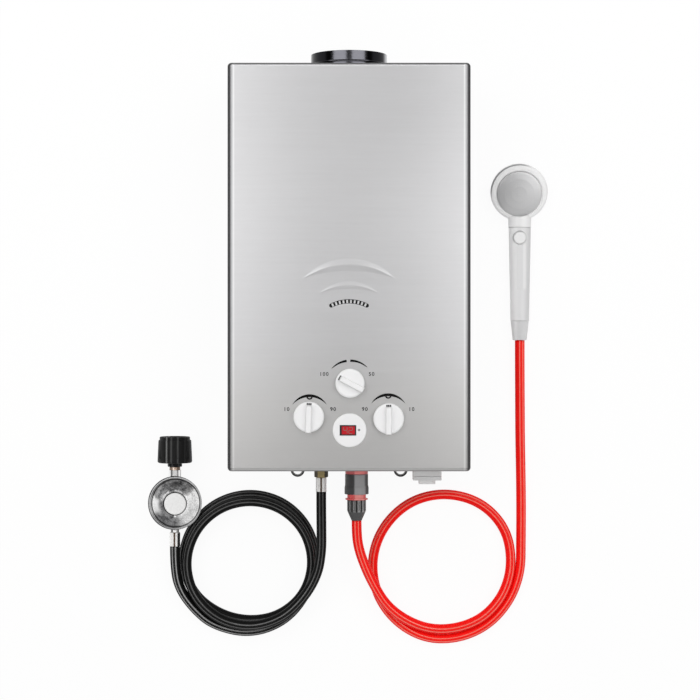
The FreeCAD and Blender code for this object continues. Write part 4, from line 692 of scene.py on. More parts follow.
def regulator_alloy():
    alloy = Finish("regulator_alloy", grey(0.4), 0.3, Metallic=1.0)
    across = alloy.axis("X") - REGULATOR.x
    along = alloy.axis("Y") - REGULATOR.y
    radius = across.hypot(along)
    patches = alloy.noise(95.0, detail=5.0, rough=0.62)
    specks = alloy.noise(520.0, detail=4.0, rough=0.7)
    mottle = alloy.step(0.62 * patches + 0.38 * specks, 0.36, 0.64)
    # painted light: the light patches are lighter on the upper half of the disc
    lit = alloy.mix(alloy.step(along, -0.020, 0.015), grey(0.36, 0.005), grey(0.66, 0.005))
    field = alloy.mix(mottle, grey(0.065, 0.003), lit)
    # painted highlights: a broad field on the right and a narrow one on the left
    right = alloy.step((0.94 * across - 0.34 * along) / radius, 0.25, 0.85)
    leftward = alloy.step((-0.99 * across - 0.10 * along) / radius, 0.86, 0.99)
    left = leftward * alloy.step(radius, 0.018, 0.025)
    grain = alloy.step(0.45 * patches + 0.55 * specks, 0.40, 0.58)
    bright = (right * (0.62 + 0.38 * grain) + 0.8 * left).least(1.0)
    lightened = alloy.mix(bright, field, grey(1.0))
    below = along + VENT_BELOW
    vent = 1 - alloy.step(across.hypot(below), *VENT_EDGE)
    vented = alloy.mix(vent, lightened, grey(0.95))
    shade = alloy.mix(alloy.line(radius, *DULL_RING), vented, grey(0.42, 0.005))
    for place, half in RIM_SEAMS:
        shade = alloy.mix(0.93 * alloy.line(radius, place, half), shade, grey(0.02))
    alloy["Base Color"] = shade
    alloy["Roughness"] = 0.46 - 0.10 * mottle
    alloy["Metallic"] = 1 - 0.85 * bright
    alloy.bump((0.6 * patches + 0.4 * specks) * (1 - 0.6 * bright), 0.22 * MM, 0.8,
               alloy.leaned(0.8 * bright, 0.4 * MM))
    return alloy


REGULATOR_ALLOY = regulator_alloy()
print("the regulator's rim has 1 dull ring and", len(RIM_SEAMS), "dark seams")

# %% [markdown]
# ## The regulator's body
#
# Behind the disc lies a body with a stem. It is smooth and bright, with painted dark reflections
# along it. From the side one looks at its underside, which is painted darker, as painted shade, and
# made rougher. The Z part of the normal tells upper side from underside.

# %% Regulator body finish
# Each streak, a painted dark reflection, is a place across and half a width in millimetres, and how
# dark it is.
STEM_STREAKS = ((-5.9, 1.9, 0.85), (2.4, 1.5, 0.45), (6.6, 1.9, 0.60))


def regulator_stem():
    stem = Finish("regulator_stem", grey(0.6), 0.3, Metallic=1.0)
    smear = stem.noise(300.0, (1, 0.2, 1), detail=3.0)
    shade = stem.mix(smear, grey(0.80, 0.005), grey(1.0))
    across = stem.axis("X") - REGULATOR.x
    for place, half, deep in STEM_STREAKS:
        streak = deep * stem.line(across, place * MM, half * MM)
        shade = stem.mix(streak, shade, grey(0.05))
    # painted shade: the underside is darker
    under = stem.step(-stem.facing("Z"), -0.15, 0.35)
    stem["Base Color"] = stem.mix(under, shade, grey(0.36, 0.01))
    stem["Roughness"] = 0.22 + 0.2 * smear + 0.22 * under
    stem.bump(smear, 0.03 * MM, 0.5, stem.rounded(0.4 * MM))
    return stem


REGULATOR_STEM = regulator_stem()
print("streaks on the regulator's body:", len(STEM_STREAKS))

# %% [markdown]
# ## Moulded plastics
#
# Every plastic piece here is injection moulded. The mould leaves a faint texture, too fine to see
# but enough to soften a highlight, and handling polishes the edges. One function makes them all,
# with a colour, a roughness and the size of the texture. Black plastic gets a low Specular IOR
# Level, because the grain of the mould breaks up most of what it would mirror.

# %% Plain plastics
def moulded(name, colour, rough, grain=1500.0, deep=0.012 * MM, shift=0.06, **constants):
    """A moulded plastic: slightly uneven colour, a fine mould texture and polished edges."""
    plastic = Finish(name, colour, rough, **constants)
    texture = plastic.noise(grain)
    cloud = plastic.noise(30.0, detail=3.0)
    worn = plastic.wear(0.5 * MM)
    darker = tuple(c * (1 - shift) for c in colour)
    lighter = tuple(min(1.0, c * (1 + 0.5 * shift)) for c in colour)
    plastic["Base Color"] = plastic.mix(0.7 * cloud + 0.3 * worn, darker, lighter)
    plastic["Roughness"] = rough + 0.08 * texture - 0.06 * worn
    plastic.bump(texture, deep, 0.6, plastic.rounded(0.5 * MM))
    return plastic


PLAIN_PLASTICS = {
    "white_plastic": moulded("white_plastic", grey(0.87, 0.005), 0.30, shift=0.03),
    "case_grey": moulded("case_grey", grey(0.86), 0.42),
    "dark_plastic": moulded("dark_plastic", grey(0.030, 0.002), 0.42, shift=0.3,
                            Specular_IOR_Level=0.2),
    "nut_black": moulded("nut_black", grey(0.010), 0.40, shift=0.3, Specular_IOR_Level=0.15),
    "cap_white": moulded("cap_white", (0.90, 0.90, 0.895), 0.38, shift=0.03),
}
print("plain plastics:", ", ".join(PLAIN_PLASTICS))

# %% [markdown]
# ## The handset's nut
#
# The cone nut under the handle has fine ribs round it, which give a wet hand its hold. At this size
# they are not worth a mesh of their own. A sine of the bearing round the nut's axis, with as many
# turns as there are ribs, moves a bump, and the colour too, which is darker between the ribs as
# painted shade. Its left flank is painted lighter, as painted light.

# %% Cone nut finish
CONE_RIBS = 44
CONE_RIB_DEEP = 0.35 * MM


def cone_grey():
    ribbed = moulded("cone_grey", grey(0.74, 0.005), 0.42)
    nut = middle("shower_cone_nut")
    turn = (ribbed.axis("Z") - nut.z).bearing(ribbed.axis("X") - nut.x)
    ribs = (turn * CONE_RIBS).sine() * 0.5 + 0.5
    # painted shade: the colour is darker between the ribs
    front = ribbed.mix(ribs, grey(0.66, 0.005), grey(0.79, 0.005))
    # painted light: the left flank is lighter
    flank = ribbed.step(-ribbed.facing("X"), 0.0, 0.7)
    ribbed["Base Color"] = ribbed.mix(flank, front, grey(0.97))
    ribbed.bump(ribs, CONE_RIB_DEEP, 0.8, ribbed.rounded(0.4 * MM))
    return ribbed


CONE_GREY = cone_grey()
print("ribs round the cone nut:", CONE_RIBS)

# %% [markdown]
# ## The handset
#
# Head and handle are white in three shades, which the normal's X part chooses: the left flank is
# painted lighter, as painted light, the right one greyer, as painted shade, and the front lies
# between them. Two painted shadows are laid over it: an arc near the head's rim, and a ring in the
# seat round the button, each strongest on the upper left. How far up and to the left a point lies
# of a middle is a sum of its X and Y, divided by its distance. Below the button a paler strip runs
# down the handle.

# %% Handset plastics
# the right-hand greys are painted shade on the right flanks
HEAD_WHITE, HEAD_RIGHT = grey(0.90), grey(0.76)
HANDLE_WHITE, HANDLE_RIGHT = grey(0.79, 0.005), grey(0.60, 0.005)
HEAD_LINE_IN, HEAD_LINE_HALF = 2.2 * MM, 1.5 * MM
BUTTON_LINE_AT, BUTTON_LINE_HALF = 8.9 * MM, 1.1 * MM
THUMB_STRIP_RIGHT, THUMB_STRIP_HALF = 7.0 * MM, 3.0 * MM
THUMB_STRIP_BEGINS = (4 * MM, 12 * MM)          # below the button's middle
THUMB_STRIP_ENDS = (66 * MM, 72 * MM)


def handset_plastic(name, front, right):
    white = moulded(name, front, 0.34, shift=0.03)
    cloud = white.noise(30.0, detail=3.0)
    plain = white.mix(cloud, tuple(0.97 * c for c in front), front)
    # painted shade on the right flank, and painted light on the left flank
    turned = white.mix(white.step(white.facing("X"), 0.25, 0.85), plain, right)
    white.shade = white.mix(white.step(-white.facing("X"), 0.0, 0.6), turned, grey(0.98))
    white["Base Color"] = white.shade
    return white


def from_middle(finish, spot):
    """How far a point is from a vertical axis, and how much it lies up and to the left of it."""
    across, along = finish.axis("X") - spot.x, finish.axis("Y") - spot.y
    radius = across.hypot(along)
    return radius, (0.77 * along - 0.64 * across) / radius


def head_shadow(white):
    """Lay a painted shadow, a dark arc near the rim, on the head."""
    radius, lean = from_middle(white, SPRAY_FACE)
    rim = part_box("shower_head")[1].y - SPRAY_FACE.y - HEAD_LINE_IN
    # a painted shadow: a dark arc near the head's rim, strongest on the upper left
    painted_arc_shadow = white.line(radius, rim, HEAD_LINE_HALF) * white.step(lean, 0.35, 0.75)
    white["Base Color"] = white.mix(painted_arc_shadow, white.shade, grey(0.30, 0.005))
    return white


def button_shadow(white):
    """Lay a paler strip, and a painted shadow round the button, on the handle."""
    button = middle("shower_button")
    radius, lean = from_middle(white, button)
    # a painted shadow: a dark ring in the seat round the button, strongest on the upper left
    ring = white.line(radius, BUTTON_LINE_AT, BUTTON_LINE_HALF)
    seat = ring * (0.30 + 0.70 * white.step(lean, -0.2, 0.6))
    below = button.y - white.axis("Y")
    reach = white.step(below, *THUMB_STRIP_BEGINS) * (1 - white.step(below, *THUMB_STRIP_ENDS))
    across = white.axis("X")
    strip = white.line(across, SPRAY_FACE.x + THUMB_STRIP_RIGHT, THUMB_STRIP_HALF) * reach
    worn = white.mix(0.45 * strip, white.shade, grey(0.95))
    white["Base Color"] = white.mix(0.45 * seat, worn, grey(0.25, 0.005))
    return white


HANDSET_WHITE = handset_plastic("handset_white", HEAD_WHITE, HEAD_RIGHT)
HANDLE_PLASTIC = button_shadow(handset_plastic("handle_plastic", HANDLE_WHITE, HANDLE_RIGHT))
HEAD_PLASTIC = head_shadow(handset_plastic("head_plastic", HEAD_WHITE, HEAD_RIGHT))
print("handle finish has", len(HANDLE_PLASTIC.tree.nodes), "nodes")

# %% [markdown]
# ## The quick coupler
#
# Below the outlet's red collar, a dark grey sleeve slides over the coupler's red core. Their front
# and right are painted paler, as painted light. One mask serves all these pieces: a band of the
# normal's X part, from a little left of the front to a good way round to the right.

# %% Coupler plastics
LIT_SIDE_FROM = (-0.27, -0.09)
LIT_SIDE_TO = (0.60, 0.86)


def painted_lit_side(finish):
    """1 where the coupler is painted lighter, as painted light, which is its front and right."""
    turned = finish.facing("X")
    return finish.step(turned, *LIT_SIDE_FROM) * (1 - finish.step(turned, *LIT_SIDE_TO))


def sleeve_grey():
    grip = moulded("coupler_grey", grey(0.06), 0.42, shift=0.2, Specular_IOR_Level=0.2)
    # painted light: the left flank is a little paler
    flank = grip.step(-grip.facing("X"), 0.45, 0.9)
    outer = grip.mix(flank, grey(0.056, 0.001), grey(0.10))
    # painted light on the front and right
    grip["Base Color"] = grip.mix(painted_lit_side(grip), outer, grey(0.37, 0.005))
    return grip


def red_lit_on_front(name, left, right):
    """A red piece of the coupler, painted lighter on its front and right, as painted light."""
    red = moulded(name, left, 0.34, shift=0.12)
    cloud = red.noise(220.0, detail=3.0)
    lit_colour = red.mix(cloud, tuple(0.9 * c for c in right), right)
    red["Base Color"] = red.mix(painted_lit_side(red), left, lit_colour)
    return red


SLEEVE_GREY = sleeve_grey()
COLLAR_RED = red_lit_on_front("red_plastic", (0.58, 0.115, 0.12), (1.0, 0.27, 0.26))
CORE_RED = red_lit_on_front("core_red", (0.78, 0.10, 0.10), (1.0, 0.34, 0.31))
print("the coupler is rubbed where its normal's X is", LIT_SIDE_FROM[0], "to", LIT_SIDE_TO[1])

# %% [markdown]
# ## Two black nuts
#
# The shower hose's nut has true ribs in its solid. Its finish paints light and shade onto them:
# grey painted highlights on the crests, black painted shade in the grooves, and paler on the right.
# Every other groove is painted darker, and a second sine with half as many turns says which. Where
# the ribs end, the nut is plain.
#
# The tank's nut has ribs as well. There only painted highlights are laid on: pale streaks along it,
# each at its own place.

# %% Black nuts
NUT_RIBS = 24
RIBS_FROM = 10.5 * MM                # the ribs begin this far above the hose nut's lower rim
# Each painted highlight is a place across and half a width in millimetres, and its grey.
NUT_HIGHLIGHTS = ((-11.3, 1.5, 0.16), (-4.9, 1.7, 0.055), (3.8, 1.5, 0.06), (13.0, 1.2, 0.022))


def ribbed_black():
    black = moulded("ribbed_black", grey(0.05), 0.42, shift=0.2, Specular_IOR_Level=0.2)
    nut = middle("hose_nut")
    turn = (black.axis("X") - nut.x).bearing(black.axis("Z") - nut.z)
    each = (turn * NUT_RIBS + math.pi / 2).sine()
    pair = (turn * (NUT_RIBS / 2) + math.pi / 2).sine()
    # painted highlights on the crests and painted shade in the grooves, every other groove darker
    crest = black.step(-0.35 * each - 0.65 * pair, -0.5, 0.7)
    # painted light on the right
    to_right = black.step(black.facing("X"), -0.5, 0.5)
    top = black.mix(to_right, grey(0.19, 0.001), grey(0.38, 0.002))
    ribs = black.mix(crest, grey(0.024), top)
    up = black.axis("Y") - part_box("hose_nut")[0].y
    ribbed = black.step(up, RIBS_FROM, RIBS_FROM + 1.5 * MM)
    black["Base Color"] = black.mix(ribbed, grey(0.085, 0.001), ribs)
    return black


def streaked_black():
    black = moulded("streaked_black", grey(0.008), 0.40, shift=0.3, Specular_IOR_Level=0.12)
    across = black.axis("X") - REGULATOR.x
    smear = black.noise(260.0, (1, 0.3, 1), detail=3.0)
    shade = black.mix(smear, grey(0.005), grey(0.013))
    # painted highlights: pale streaks along the nut
    for place, half, level in NUT_HIGHLIGHTS:
        shade = black.mix(black.line(across, place * MM, half * MM), shade, grey(level))
    black["Base Color"] = shade
    return black


HOSE_NUT_BLACK = ribbed_black()
TANK_NUT_BLACK = streaked_black()
PLASTICS = {**PLAIN_PLASTICS, "handset_white": HANDSET_WHITE, "cone_grey": CONE_GREY,
            "coupler_grey": SLEEVE_GREY, "red_plastic": COLLAR_RED}
print(len(PLASTICS), "plastics:", ", ".join(sorted(PLASTICS)))

# %% [markdown]
# ## The satin spray face
#
# The handset's face is a slightly domed steel plate with very fine holes. From a distance it looks
# like plain satin metal, and close by the holes are a regular pattern of dark dots. Hundreds of
# real holes would make a heavy mesh for hardly anything to see. Cells of a Voronoi texture without
# randomness stand in a square grid, so a step on their distance gives the dots.

# %% Spray face finish
HOLES_PER_METRE = 420.0
SHADE_BORDER = 24.0 * MM              # the upper left passes into the lower right over twice this


def handset_face():
    satin = Finish("handset_face", grey(0.5), 0.4, Metallic=1.0)
    grid = satin.node("TexVoronoi", {"voronoi_dimensions": "2D"},
                      {"Vector": satin.place, "Scale": HOLES_PER_METRE, "Randomness": 0.0})
    hole = 1 - satin.step(grid, 0.10, 0.16)
    brushing = satin.noise(1.0, (120, 3000, 120), detail=3.0)
    # painted shade on the upper left of the plate, and painted light on its lower right
    worn = satin.step(0.5 * (satin.axis("X") - SPRAY_FACE.x) - (satin.axis("Y") - SPRAY_FACE.y),
                      -SHADE_BORDER, SHADE_BORDER)
    upper = satin.mix(brushing, grey(0.45, 0.005), grey(0.55, 0.005))
    lower = satin.mix(brushing, grey(0.66, 0.005), grey(0.76, 0.005))
    plate = satin.mix(worn, upper, lower)
    satin["Base Color"] = satin.mix(0.8 * hole, plate, grey(0.06))
    satin["Roughness"] = 0.36 + 0.1 * brushing
    satin.bump(0.2 * brushing - hole, 0.05 * MM, 0.6, satin.rounded(0.3 * MM))
    return satin


SPRAY_STEEL = handset_face()
print("holes", round(1 / HOLES_PER_METRE / MM, 2), "mm apart")

# %% [markdown]
# ## Glass and the lens
#
# The sight glass is frosted, so that the flame shows through its slots as a glow. It is thin and
# has the dark burner behind it, so a pale rough surface looks the same as real transmission and
# renders without noise. The display's lens is red acrylic, lit from behind, and so gives off a
# little light of its own.

# %% Glass and lens
def sight_glass():
    glass = Finish("sight_glass", grey(0.7), 0.4, IOR=1.5)
    frost = glass.noise(240.0, detail=4.0)
    glass["Base Color"] = glass.mix(frost, grey(0.66, 0.005), grey(0.82, 0.005))
    glass["Roughness"] = 0.35 + 0.2 * frost
    return glass


def red_lens():
    lens = Finish("red_lens", (0.40, 0.012, 0.02), 0.2, Emission_Strength=0.12,
                  Specular_IOR_Level=0.2)
    unlit = lens.noise(300.0)
    lens["Base Color"] = lens.mix(unlit, (0.36, 0.010, 0.018), (0.48, 0.022, 0.03))
    lens["Emission Color"] = lens.mix(unlit, (0.75, 0.012, 0.02), (0.95, 0.03, 0.035))
    return lens


SIGHT_GLASS = sight_glass()
RED_LENS = red_lens()
print("glass and lens finishes have", len(SIGHT_GLASS.tree.nodes), "and",
      len(RED_LENS.tree.nodes), "nodes")

# %% [markdown]
# ## What lies inside
#
# The board, the battery jackets and the ceramic sleeves are only seen when the casing is opened,
# but each gets its own finish all the same. The board's copper lanes and the jackets' printed bands
# are sines as well, stepped until they have clear edges.

# %% Inner finishes
LANE_PITCH = 2.4 * MM
BAND_PITCH = 60.0 * MM


def circuit_board():
    board = Finish("board_green", (0.03, 0.16, 0.07), 0.35)
    lanes = board.step((board.axis("X") * (math.tau / LANE_PITCH)).sine(), 0.55, 0.7)
    weave = board.noise(1200.0)
    mask = board.mix(weave, (0.018, 0.11, 0.045), (0.03, 0.15, 0.06))
    board["Base Color"] = board.mix(lanes, mask, (0.05, 0.24, 0.10))
    board.bump(lanes, 0.03 * MM)
    return board


def cell_jacket():
    jacket = Finish("cell_jacket", grey(0.1, 0.01), 0.3, Metallic=0.6)
    band = jacket.step((jacket.axis("Y") * (math.tau / BAND_PITCH)).sine(), 0.2, 0.25)
    scuffs = jacket.noise(400.0, (1, 4, 1), detail=4.0)
    jacket["Base Color"] = jacket.mix(band, grey(0.05, 0.005), (0.42, 0.28, 0.12))
    jacket["Roughness"] = 0.2 + 0.25 * scuffs
    return jacket


INNER = {"glass": SIGHT_GLASS, "red_lens": RED_LENS, "board_green": circuit_board(),
         "cell_jacket": cell_jacket(),
         "ceramic": moulded("ceramic", (0.80, 0.78, 0.72), 0.2, grain=900.0, deep=0.02 * MM)}
print("inner finishes:", ", ".join(INNER))

# %% [markdown]
# ## Rubber and braid
#
# Both hoses are covered tubes about 13 mm thick. The gas hose is smooth black rubber. The shower
# hose is red PVC over a fine braid, so its colour and its bump change in a small crossed pattern:
# two sines that run round it in opposite directions, multiplied.
#
# Each hose has two painted highlight lines along its upper side, paler in colour and with a glossy
# coat, and close to the regulator those of the gas hose are paler still. A pattern on a hose has to
# follow it round every bend, so neither X nor Y can say where a point is. Each hose is a mesh tube
# that remembers, at every point, how far along and how far round it is, and the finish reads those
# two numbers.

# %% Hose finishes
BRAID_PITCH = 5.2 * MM
BRAID_STRANDS = 12
HIGHLIGHT_AT, HIGHLIGHT_HALF = 0.34, 0.18       # radians to each side of the top
HIGHLIGHTS_PALER = (1.24, 1.34)               # metres along the gas hose


def hose_numbers(finish):
    """How far along the hose in metres, and how far round in radians."""
    along = finish.node("Attribute", {"attribute_name": "along"}, {}, "Fac")
    around = finish.node("Attribute", {"attribute_name": "around"}, {}, "Fac")
    return along, around


def painted_highlight_lines(finish, around):
    """1 on two painted highlight lines along the top of a hose."""
    from_top = around.sum("WRAP", around, math.pi, -math.pi)
    return finish.line(abs(from_top), HIGHLIGHT_AT, HIGHLIGHT_HALF)


def red_hose():
    red = Finish("red_hose", (0.95, 0.02, 0.012), 0.3, Specular_IOR_Level=0.08,
                 Coat_Roughness=0.18, Coat_IOR=1.75)
    along, around = hose_numbers(red)
    lay = along * (math.tau / BRAID_PITCH)
    left = (around * BRAID_STRANDS + lay).sine()
    right = (around * BRAID_STRANDS - lay).sine()
    thread = red.step((left * right) * 0.5 + 0.5, 0.35, 0.75)
    milky = red.noise(60.0)
    tint = red.mix(0.75 * thread + 0.25 * milky, (0.95, 0.004, 0.003), (1.0, 0.014, 0.010))
    # two painted highlight lines along the top of the hose
    lines = painted_highlight_lines(red, around)
    red["Base Color"] = red.mix(lines * (0.6 + 0.4 * milky), tint, (1.0, 0.23, 0.17))
    red["Roughness"] = 0.30 + 0.16 * thread
    red["Coat Weight"] = 0.5 * lines
    red.bump(thread, 0.08 * MM, 0.4)
    return red


def black_rubber():
    black = Finish("black_rubber", grey(0.007), 0.35, Specular_IOR_Level=0.06,
                   Coat_Roughness=0.2)
    along, around = hose_numbers(black)
    dust = black.noise(160.0, detail=4.0, rough=0.6)
    blackened = black.mix(dust, grey(0.002), grey(0.009))
    lines = painted_highlight_lines(black, around)
    # the painted highlight lines are paler still close to the regulator
    worn = black.mix(black.step(along, *HIGHLIGHTS_PALER), grey(0.11), grey(0.42))
    black["Base Color"] = black.mix(lines * (0.5 + 0.5 * dust), blackened, worn)
    black["Roughness"] = 0.32 + 0.14 * dust
    black["Coat Weight"] = 0.8 * lines
    black.bump(dust, 0.03 * MM, 0.5)
    return black


RED_HOSE = red_hose()
BLACK_RUBBER = black_rubber()
print("braid turns once in", BRAID_PITCH / MM, "mm")

# %% [markdown]
# ## The two hoses
#
# A hose is springy, so it lies in long curves. A simulation could drop it on the floor, but it
# would never land in just the coil that is wanted. So each route is a short list of points in
# millimetres, and a NURBS spline through that list has no corners.
#
# The gas hose leaves the union nut under the casing, sinks to the floor in a coil of two and a
# quarter turns, and comes up to the regulator. The coil is worked out by a loop, one point for
# every 30 degrees, from a list of radii and heights. The shower hose goes once round on the floor
# and then up to the handset.

# %% Routes
HOSE_RADIUS = 6.6 * MM
GAS_EXIT = (-37.2, -294.7, 48.0)
GAS_LEAD_IN = (GAS_EXIT, (-37.2, -316.7, 48.0), (-36.9, -344.9, 45.5), (-36.9, -374.9, 41.5),
               (-42.2, -406.6, 37.5), (-60.5, -438.7, 34.2))
COIL_CENTRE = (-134.0, -391.5)
COIL_FROM, COIL_STEP = -60.0, -30.0
COIL_TURNS = (
    (87.2, 32.0), (88.6, 23.0), (89.4, 19.6), (89.3, 20.9), (88.0, 20.9), (86.0, 20.7),
    (84.5, 19.6), (84.0, 19.4), (85.0, 19.9), (86.3, 20.9), (86.6, 20.9), (86.4, 20.4),
    (83.8, 18.4), (82.4, 7.4), (84.0, 7.0), (90.1, 7.0), (94.2, 7.0), (93.2, 7.0),
    (92.6, 7.0), (92.5, 7.0), (92.5, 7.0), (91.9, 7.0), (91.0, 7.0), (89.4, 7.0),
    (94.6, 7.0), (99.0, 7.0), (101.0, 7.6))
GAS_LEAD_OUT = ((-212.0, -454.2, 10.5), (-230.2, -426.5, 16.0), (-234.8, -396.3, 23.5),
                (-234.8, -369.9, 23.5))
SHOWER_EXIT = (10.0, -333.4, 48.0)
SHOWER_ROUTE = (
    SHOWER_EXIT, (10.0, -351.4, 48.0), (13.0, -371.9, 44.0), (20.8, -394.8, 36.0),
    (30.9, -417.9, 28.6), (49.8, -450.0, 22.6), (77.6, -471.6, 17.6), (111.2, -484.2, 14.2),
    (149.8, -481.9, 14.0), (184.6, -466.0, 15.0), (210.6, -434.2, 14.8), (221.2, -393.5, 9.8),
    (212.8, -347.2, 7.0), (179.3, -311.7, 7.0), (130.6, -298.7, 7.0), (82.8, -309.8, 7.0),
    (46.8, -342.9, 7.0), (29.9, -386.7, 7.0), (35.4, -434.8, 7.0), (62.0, -473.8, 7.0),
    (103.2, -497.4, 7.0), (149.4, -496.8, 7.0), (190.2, -478.0, 7.0), (219.2, -443.8, 7.0),
    (232.6, -405.0, 7.0), (233.0, -364.9, 7.0), (233.3, -320.1, 7.0), (232.8, -272.6, 7.0),
    (231.9, -225.2, 7.0), (231.6, -180.4, 7.8), (231.2, -141.0, 10.2), (230.9, -115.3, 12.5),
    (230.9, -92.6, 12.5))


def coil_points():
    """The coil's points in millimetres, one after another round its middle."""
    for number, (radius, height) in enumerate(COIL_TURNS):
        bearing = math.radians(COIL_FROM + number * COIL_STEP)
        yield (COIL_CENTRE[0] + radius * math.cos(bearing),
               COIL_CENTRE[1] + radius * math.sin(bearing), height)


def metres(points):
    """Points in millimetres, as vectors in metres."""
    return [Vector(point) * MM for point in points]


GAS_ROUTE = metres((*GAS_LEAD_IN, *coil_points(), *GAS_LEAD_OUT))
print(len(GAS_ROUTE), "points for gas,", len(SHOWER_ROUTE), "for water")

# %% [markdown]
# The spline is drawn once with no thickness, and Blender turns it into a fine chain of points. The
# tube is then built round that chain. Blender could give the spline a thickness by itself, but then
# no point would know where along the hose it is.
#
# A ring of points at each step is carried along without twisting: its side direction is only ever
# tipped as far as the hose itself bends. That keeps the braid straight.

# %% From a route to a tube
RING_SIDES = 24
SPLINE_STEPS = 12


def centreline(name, points):
    """The points of one smooth NURBS spline through a route."""
    curve = bpy.data.curves.new(name, "CURVE")
    curve.dimensions = "3D"
    spline = curve.splines.new("NURBS")
    spline.points.add(len(points) - 1)
    for knot, point in zip(spline.points, points):
        knot.co = (*point, 1.0)
    spline.order_u = 3
    spline.use_endpoint_u = True
    spline.resolution_u = SPLINE_STEPS
    chain = as_mesh(name, curve)
    line = [vertex.co.copy() for vertex in chain.vertices]
    bpy.data.meshes.remove(chain)
    return line


def tube(name, line, radius, finish):
    """A closed tube round a line. Its points know how far along and how far round they are."""
    rings, along, around = [], [], []
    side, walked = Vector((0, 0, 1)), 0.0
    for index, spot in enumerate(line):
        ahead = (line[min(index + 1, len(line) - 1)] - line[max(index - 1, 0)]).normalized()
        side = (side - ahead * side.dot(ahead)).normalized()
        across = ahead.cross(side)
        walked += (spot - line[index - 1]).length if index else 0.0
        for step in range(RING_SIDES):
            turn = math.tau * step / RING_SIDES
            rings.append(spot + (side * math.cos(turn) + across * math.sin(turn)) * radius)
            along.append(walked)
            around.append(turn)
    mesh = bpy.data.meshes.new(name)
    faces = [tuple(reversed(range(RING_SIDES))),
             tuple(range(len(rings) - RING_SIDES, len(rings)))]
    for ring in range(len(line) - 1):
        for step in range(RING_SIDES):
            low, high = ring * RING_SIDES, (ring + 1) * RING_SIDES
            beside = (step + 1) % RING_SIDES
            faces.append((low + step, low + beside, high + beside, high + step))
    mesh.from_pydata(rings, [], faces)
    for title, values in (("along", along), ("around", around)):
        mesh.attributes.new(title, "FLOAT", "POINT").data.foreach_set("value", values)
    mesh.materials.append(finish.material)
    mesh.shade_smooth()
    return add_object(name, mesh), walked


print("a ring has", RING_SIDES, "points")

# %% [markdown]
# A hose takes the place of its node in the frame, rides on the heater's body, and prints its
# length.


def lay_hose(name, route, finish, node):
    line = centreline(name + "_line", route)
    hose, walked = tube(name, line, HOSE_RADIUS, finish)
    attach(hose, "heater")
    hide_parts(node)
    print(name, "is", round(walked, 3), "m along its middle")


lay_hose("gas_hose_rubber", GAS_ROUTE, BLACK_RUBBER, "gas_hose")
lay_hose("shower_hose_braided", metres(SHOWER_ROUTE), RED_HOSE,
         "shower_hose")

# %% [markdown]
# ## Finishes onto the frame
#
# Every node of the frame carries a plain material named after its slot. Each is exchanged for the
# finish of the same name. A few nodes share a slot but look different on the real set, such as the
# flue collar, which heat has darkened, and they are named one by one.

# %% Put the finishes on
FINISHES = {"brushed_cover": COVER_STEEL, "handset_face": SPRAY_STEEL,
            "regulator_alloy": REGULATOR_ALLOY, "black_rubber": BLACK_RUBBER,
            "red_hose": RED_HOSE, **SHEET_METALS, **TURNED_METALS, **PLASTICS, **INNER}
OWN_FINISHES = {"flue_collar": FLUE_STEEL, "back_plate": TABBED_PLATE,
                "sight_grille": PLASTICS["nut_black"], "gas_hose_nut": UNION_BRASS,
                "gas_hose_ferrules": FERRULE_PLATING, "regulator_body": REGULATOR_STEM,
                "qcc_nut": TANK_NUT_BLACK, "qcc_nipple": NIPPLE_BRASS,
                "coupler_core": CORE_RED, "hose_nut": HOSE_NUT_BLACK,
                "shower_handle": HANDLE_PLASTIC, "shower_head": HEAD_PLASTIC}

for name, node in frame["nodes"].items():
    for place in node.material_slots:
        chosen = OWN_FINISHES.get(name) or FINISHES[place.material.name]
        place.material = chosen.material
print("finishes on", len(frame["nodes"]), "nodes,", len(OWN_FINISHES), "of them with their own")

# %% [markdown]
# ## Printing on the casing
#
# The scales round the knobs are screen printed: flat ink about a twentieth of a millimetre thick. A
# picture laid on the steel would get blurred close by. So each mark is an outline that is filled
# below and above, with a narrow wall between the two, as high as the ink is thick. That gives it a
# real edge, and it never flickers against the steel. Bmesh, Blender's mesh builder, makes it face
# by face, and then turns all faces outwards. Every printed piece rides on the body that carries it.

# %% Flat printed pieces
INK_THICK = 0.05 * MM
INK = moulded("printing_ink", grey(0.004), 0.5, shift=0.3, Specular_IOR_Level=0.1)
GREY_INK = moulded("grey_ink", grey(0.035, 0.001), 0.5, shift=0.3, Specular_IOR_Level=0.1)


def add_print(name, mesh, finish, body="heater"):
    """Put a printed mesh on a body, in one ink."""
    mesh.materials.append(finish.material)
    made = add_object(name, mesh)
    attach(made, body)


def flat_mesh(name, outlines, height, thick=INK_THICK):
    """A mesh of filled outlines, each a list of (x, y), lying at a height."""
    builder = bmesh.new()
    for outline in outlines:
        foot = [builder.verts.new((x, y, height)) for x, y in outline]
        top = [builder.verts.new((x, y, height + thick)) for x, y in outline]
        builder.faces.new(foot)
        builder.faces.new(top)
        for corner in range(len(outline)):
            builder.faces.new((foot[corner - 1], foot[corner], top[corner], top[corner - 1]))
    bmesh.ops.recalc_face_normals(builder, faces=builder.faces)
    mesh = bpy.data.meshes.new(name)
    builder.to_mesh(mesh)
    builder.free()
    return mesh


def arc(centre, radius, start, end, steps):
    """Points of an arc. Bearings are in degrees, clockwise from the top of the casing."""
    for step in range(steps + 1):
        bearing = math.radians(start + (end - start) * step / steps)
        yield (centre[0] + radius * math.sin(bearing), centre[1] + radius * math.cos(bearing))


print("ink is", INK_THICK / MM, "mm thick")

# %% [markdown]
# ## Scales round the knobs
#
# Over each side knob stands a crescent, which is the space between two arcs through the same two
# ends. From half the chord and the rise, one formula gives the radius of such an arc. A small half
# ring hangs under the crescent's middle. The upper knob has two arcs with a gap between them, thick
# at the gap and fine at their far ends.

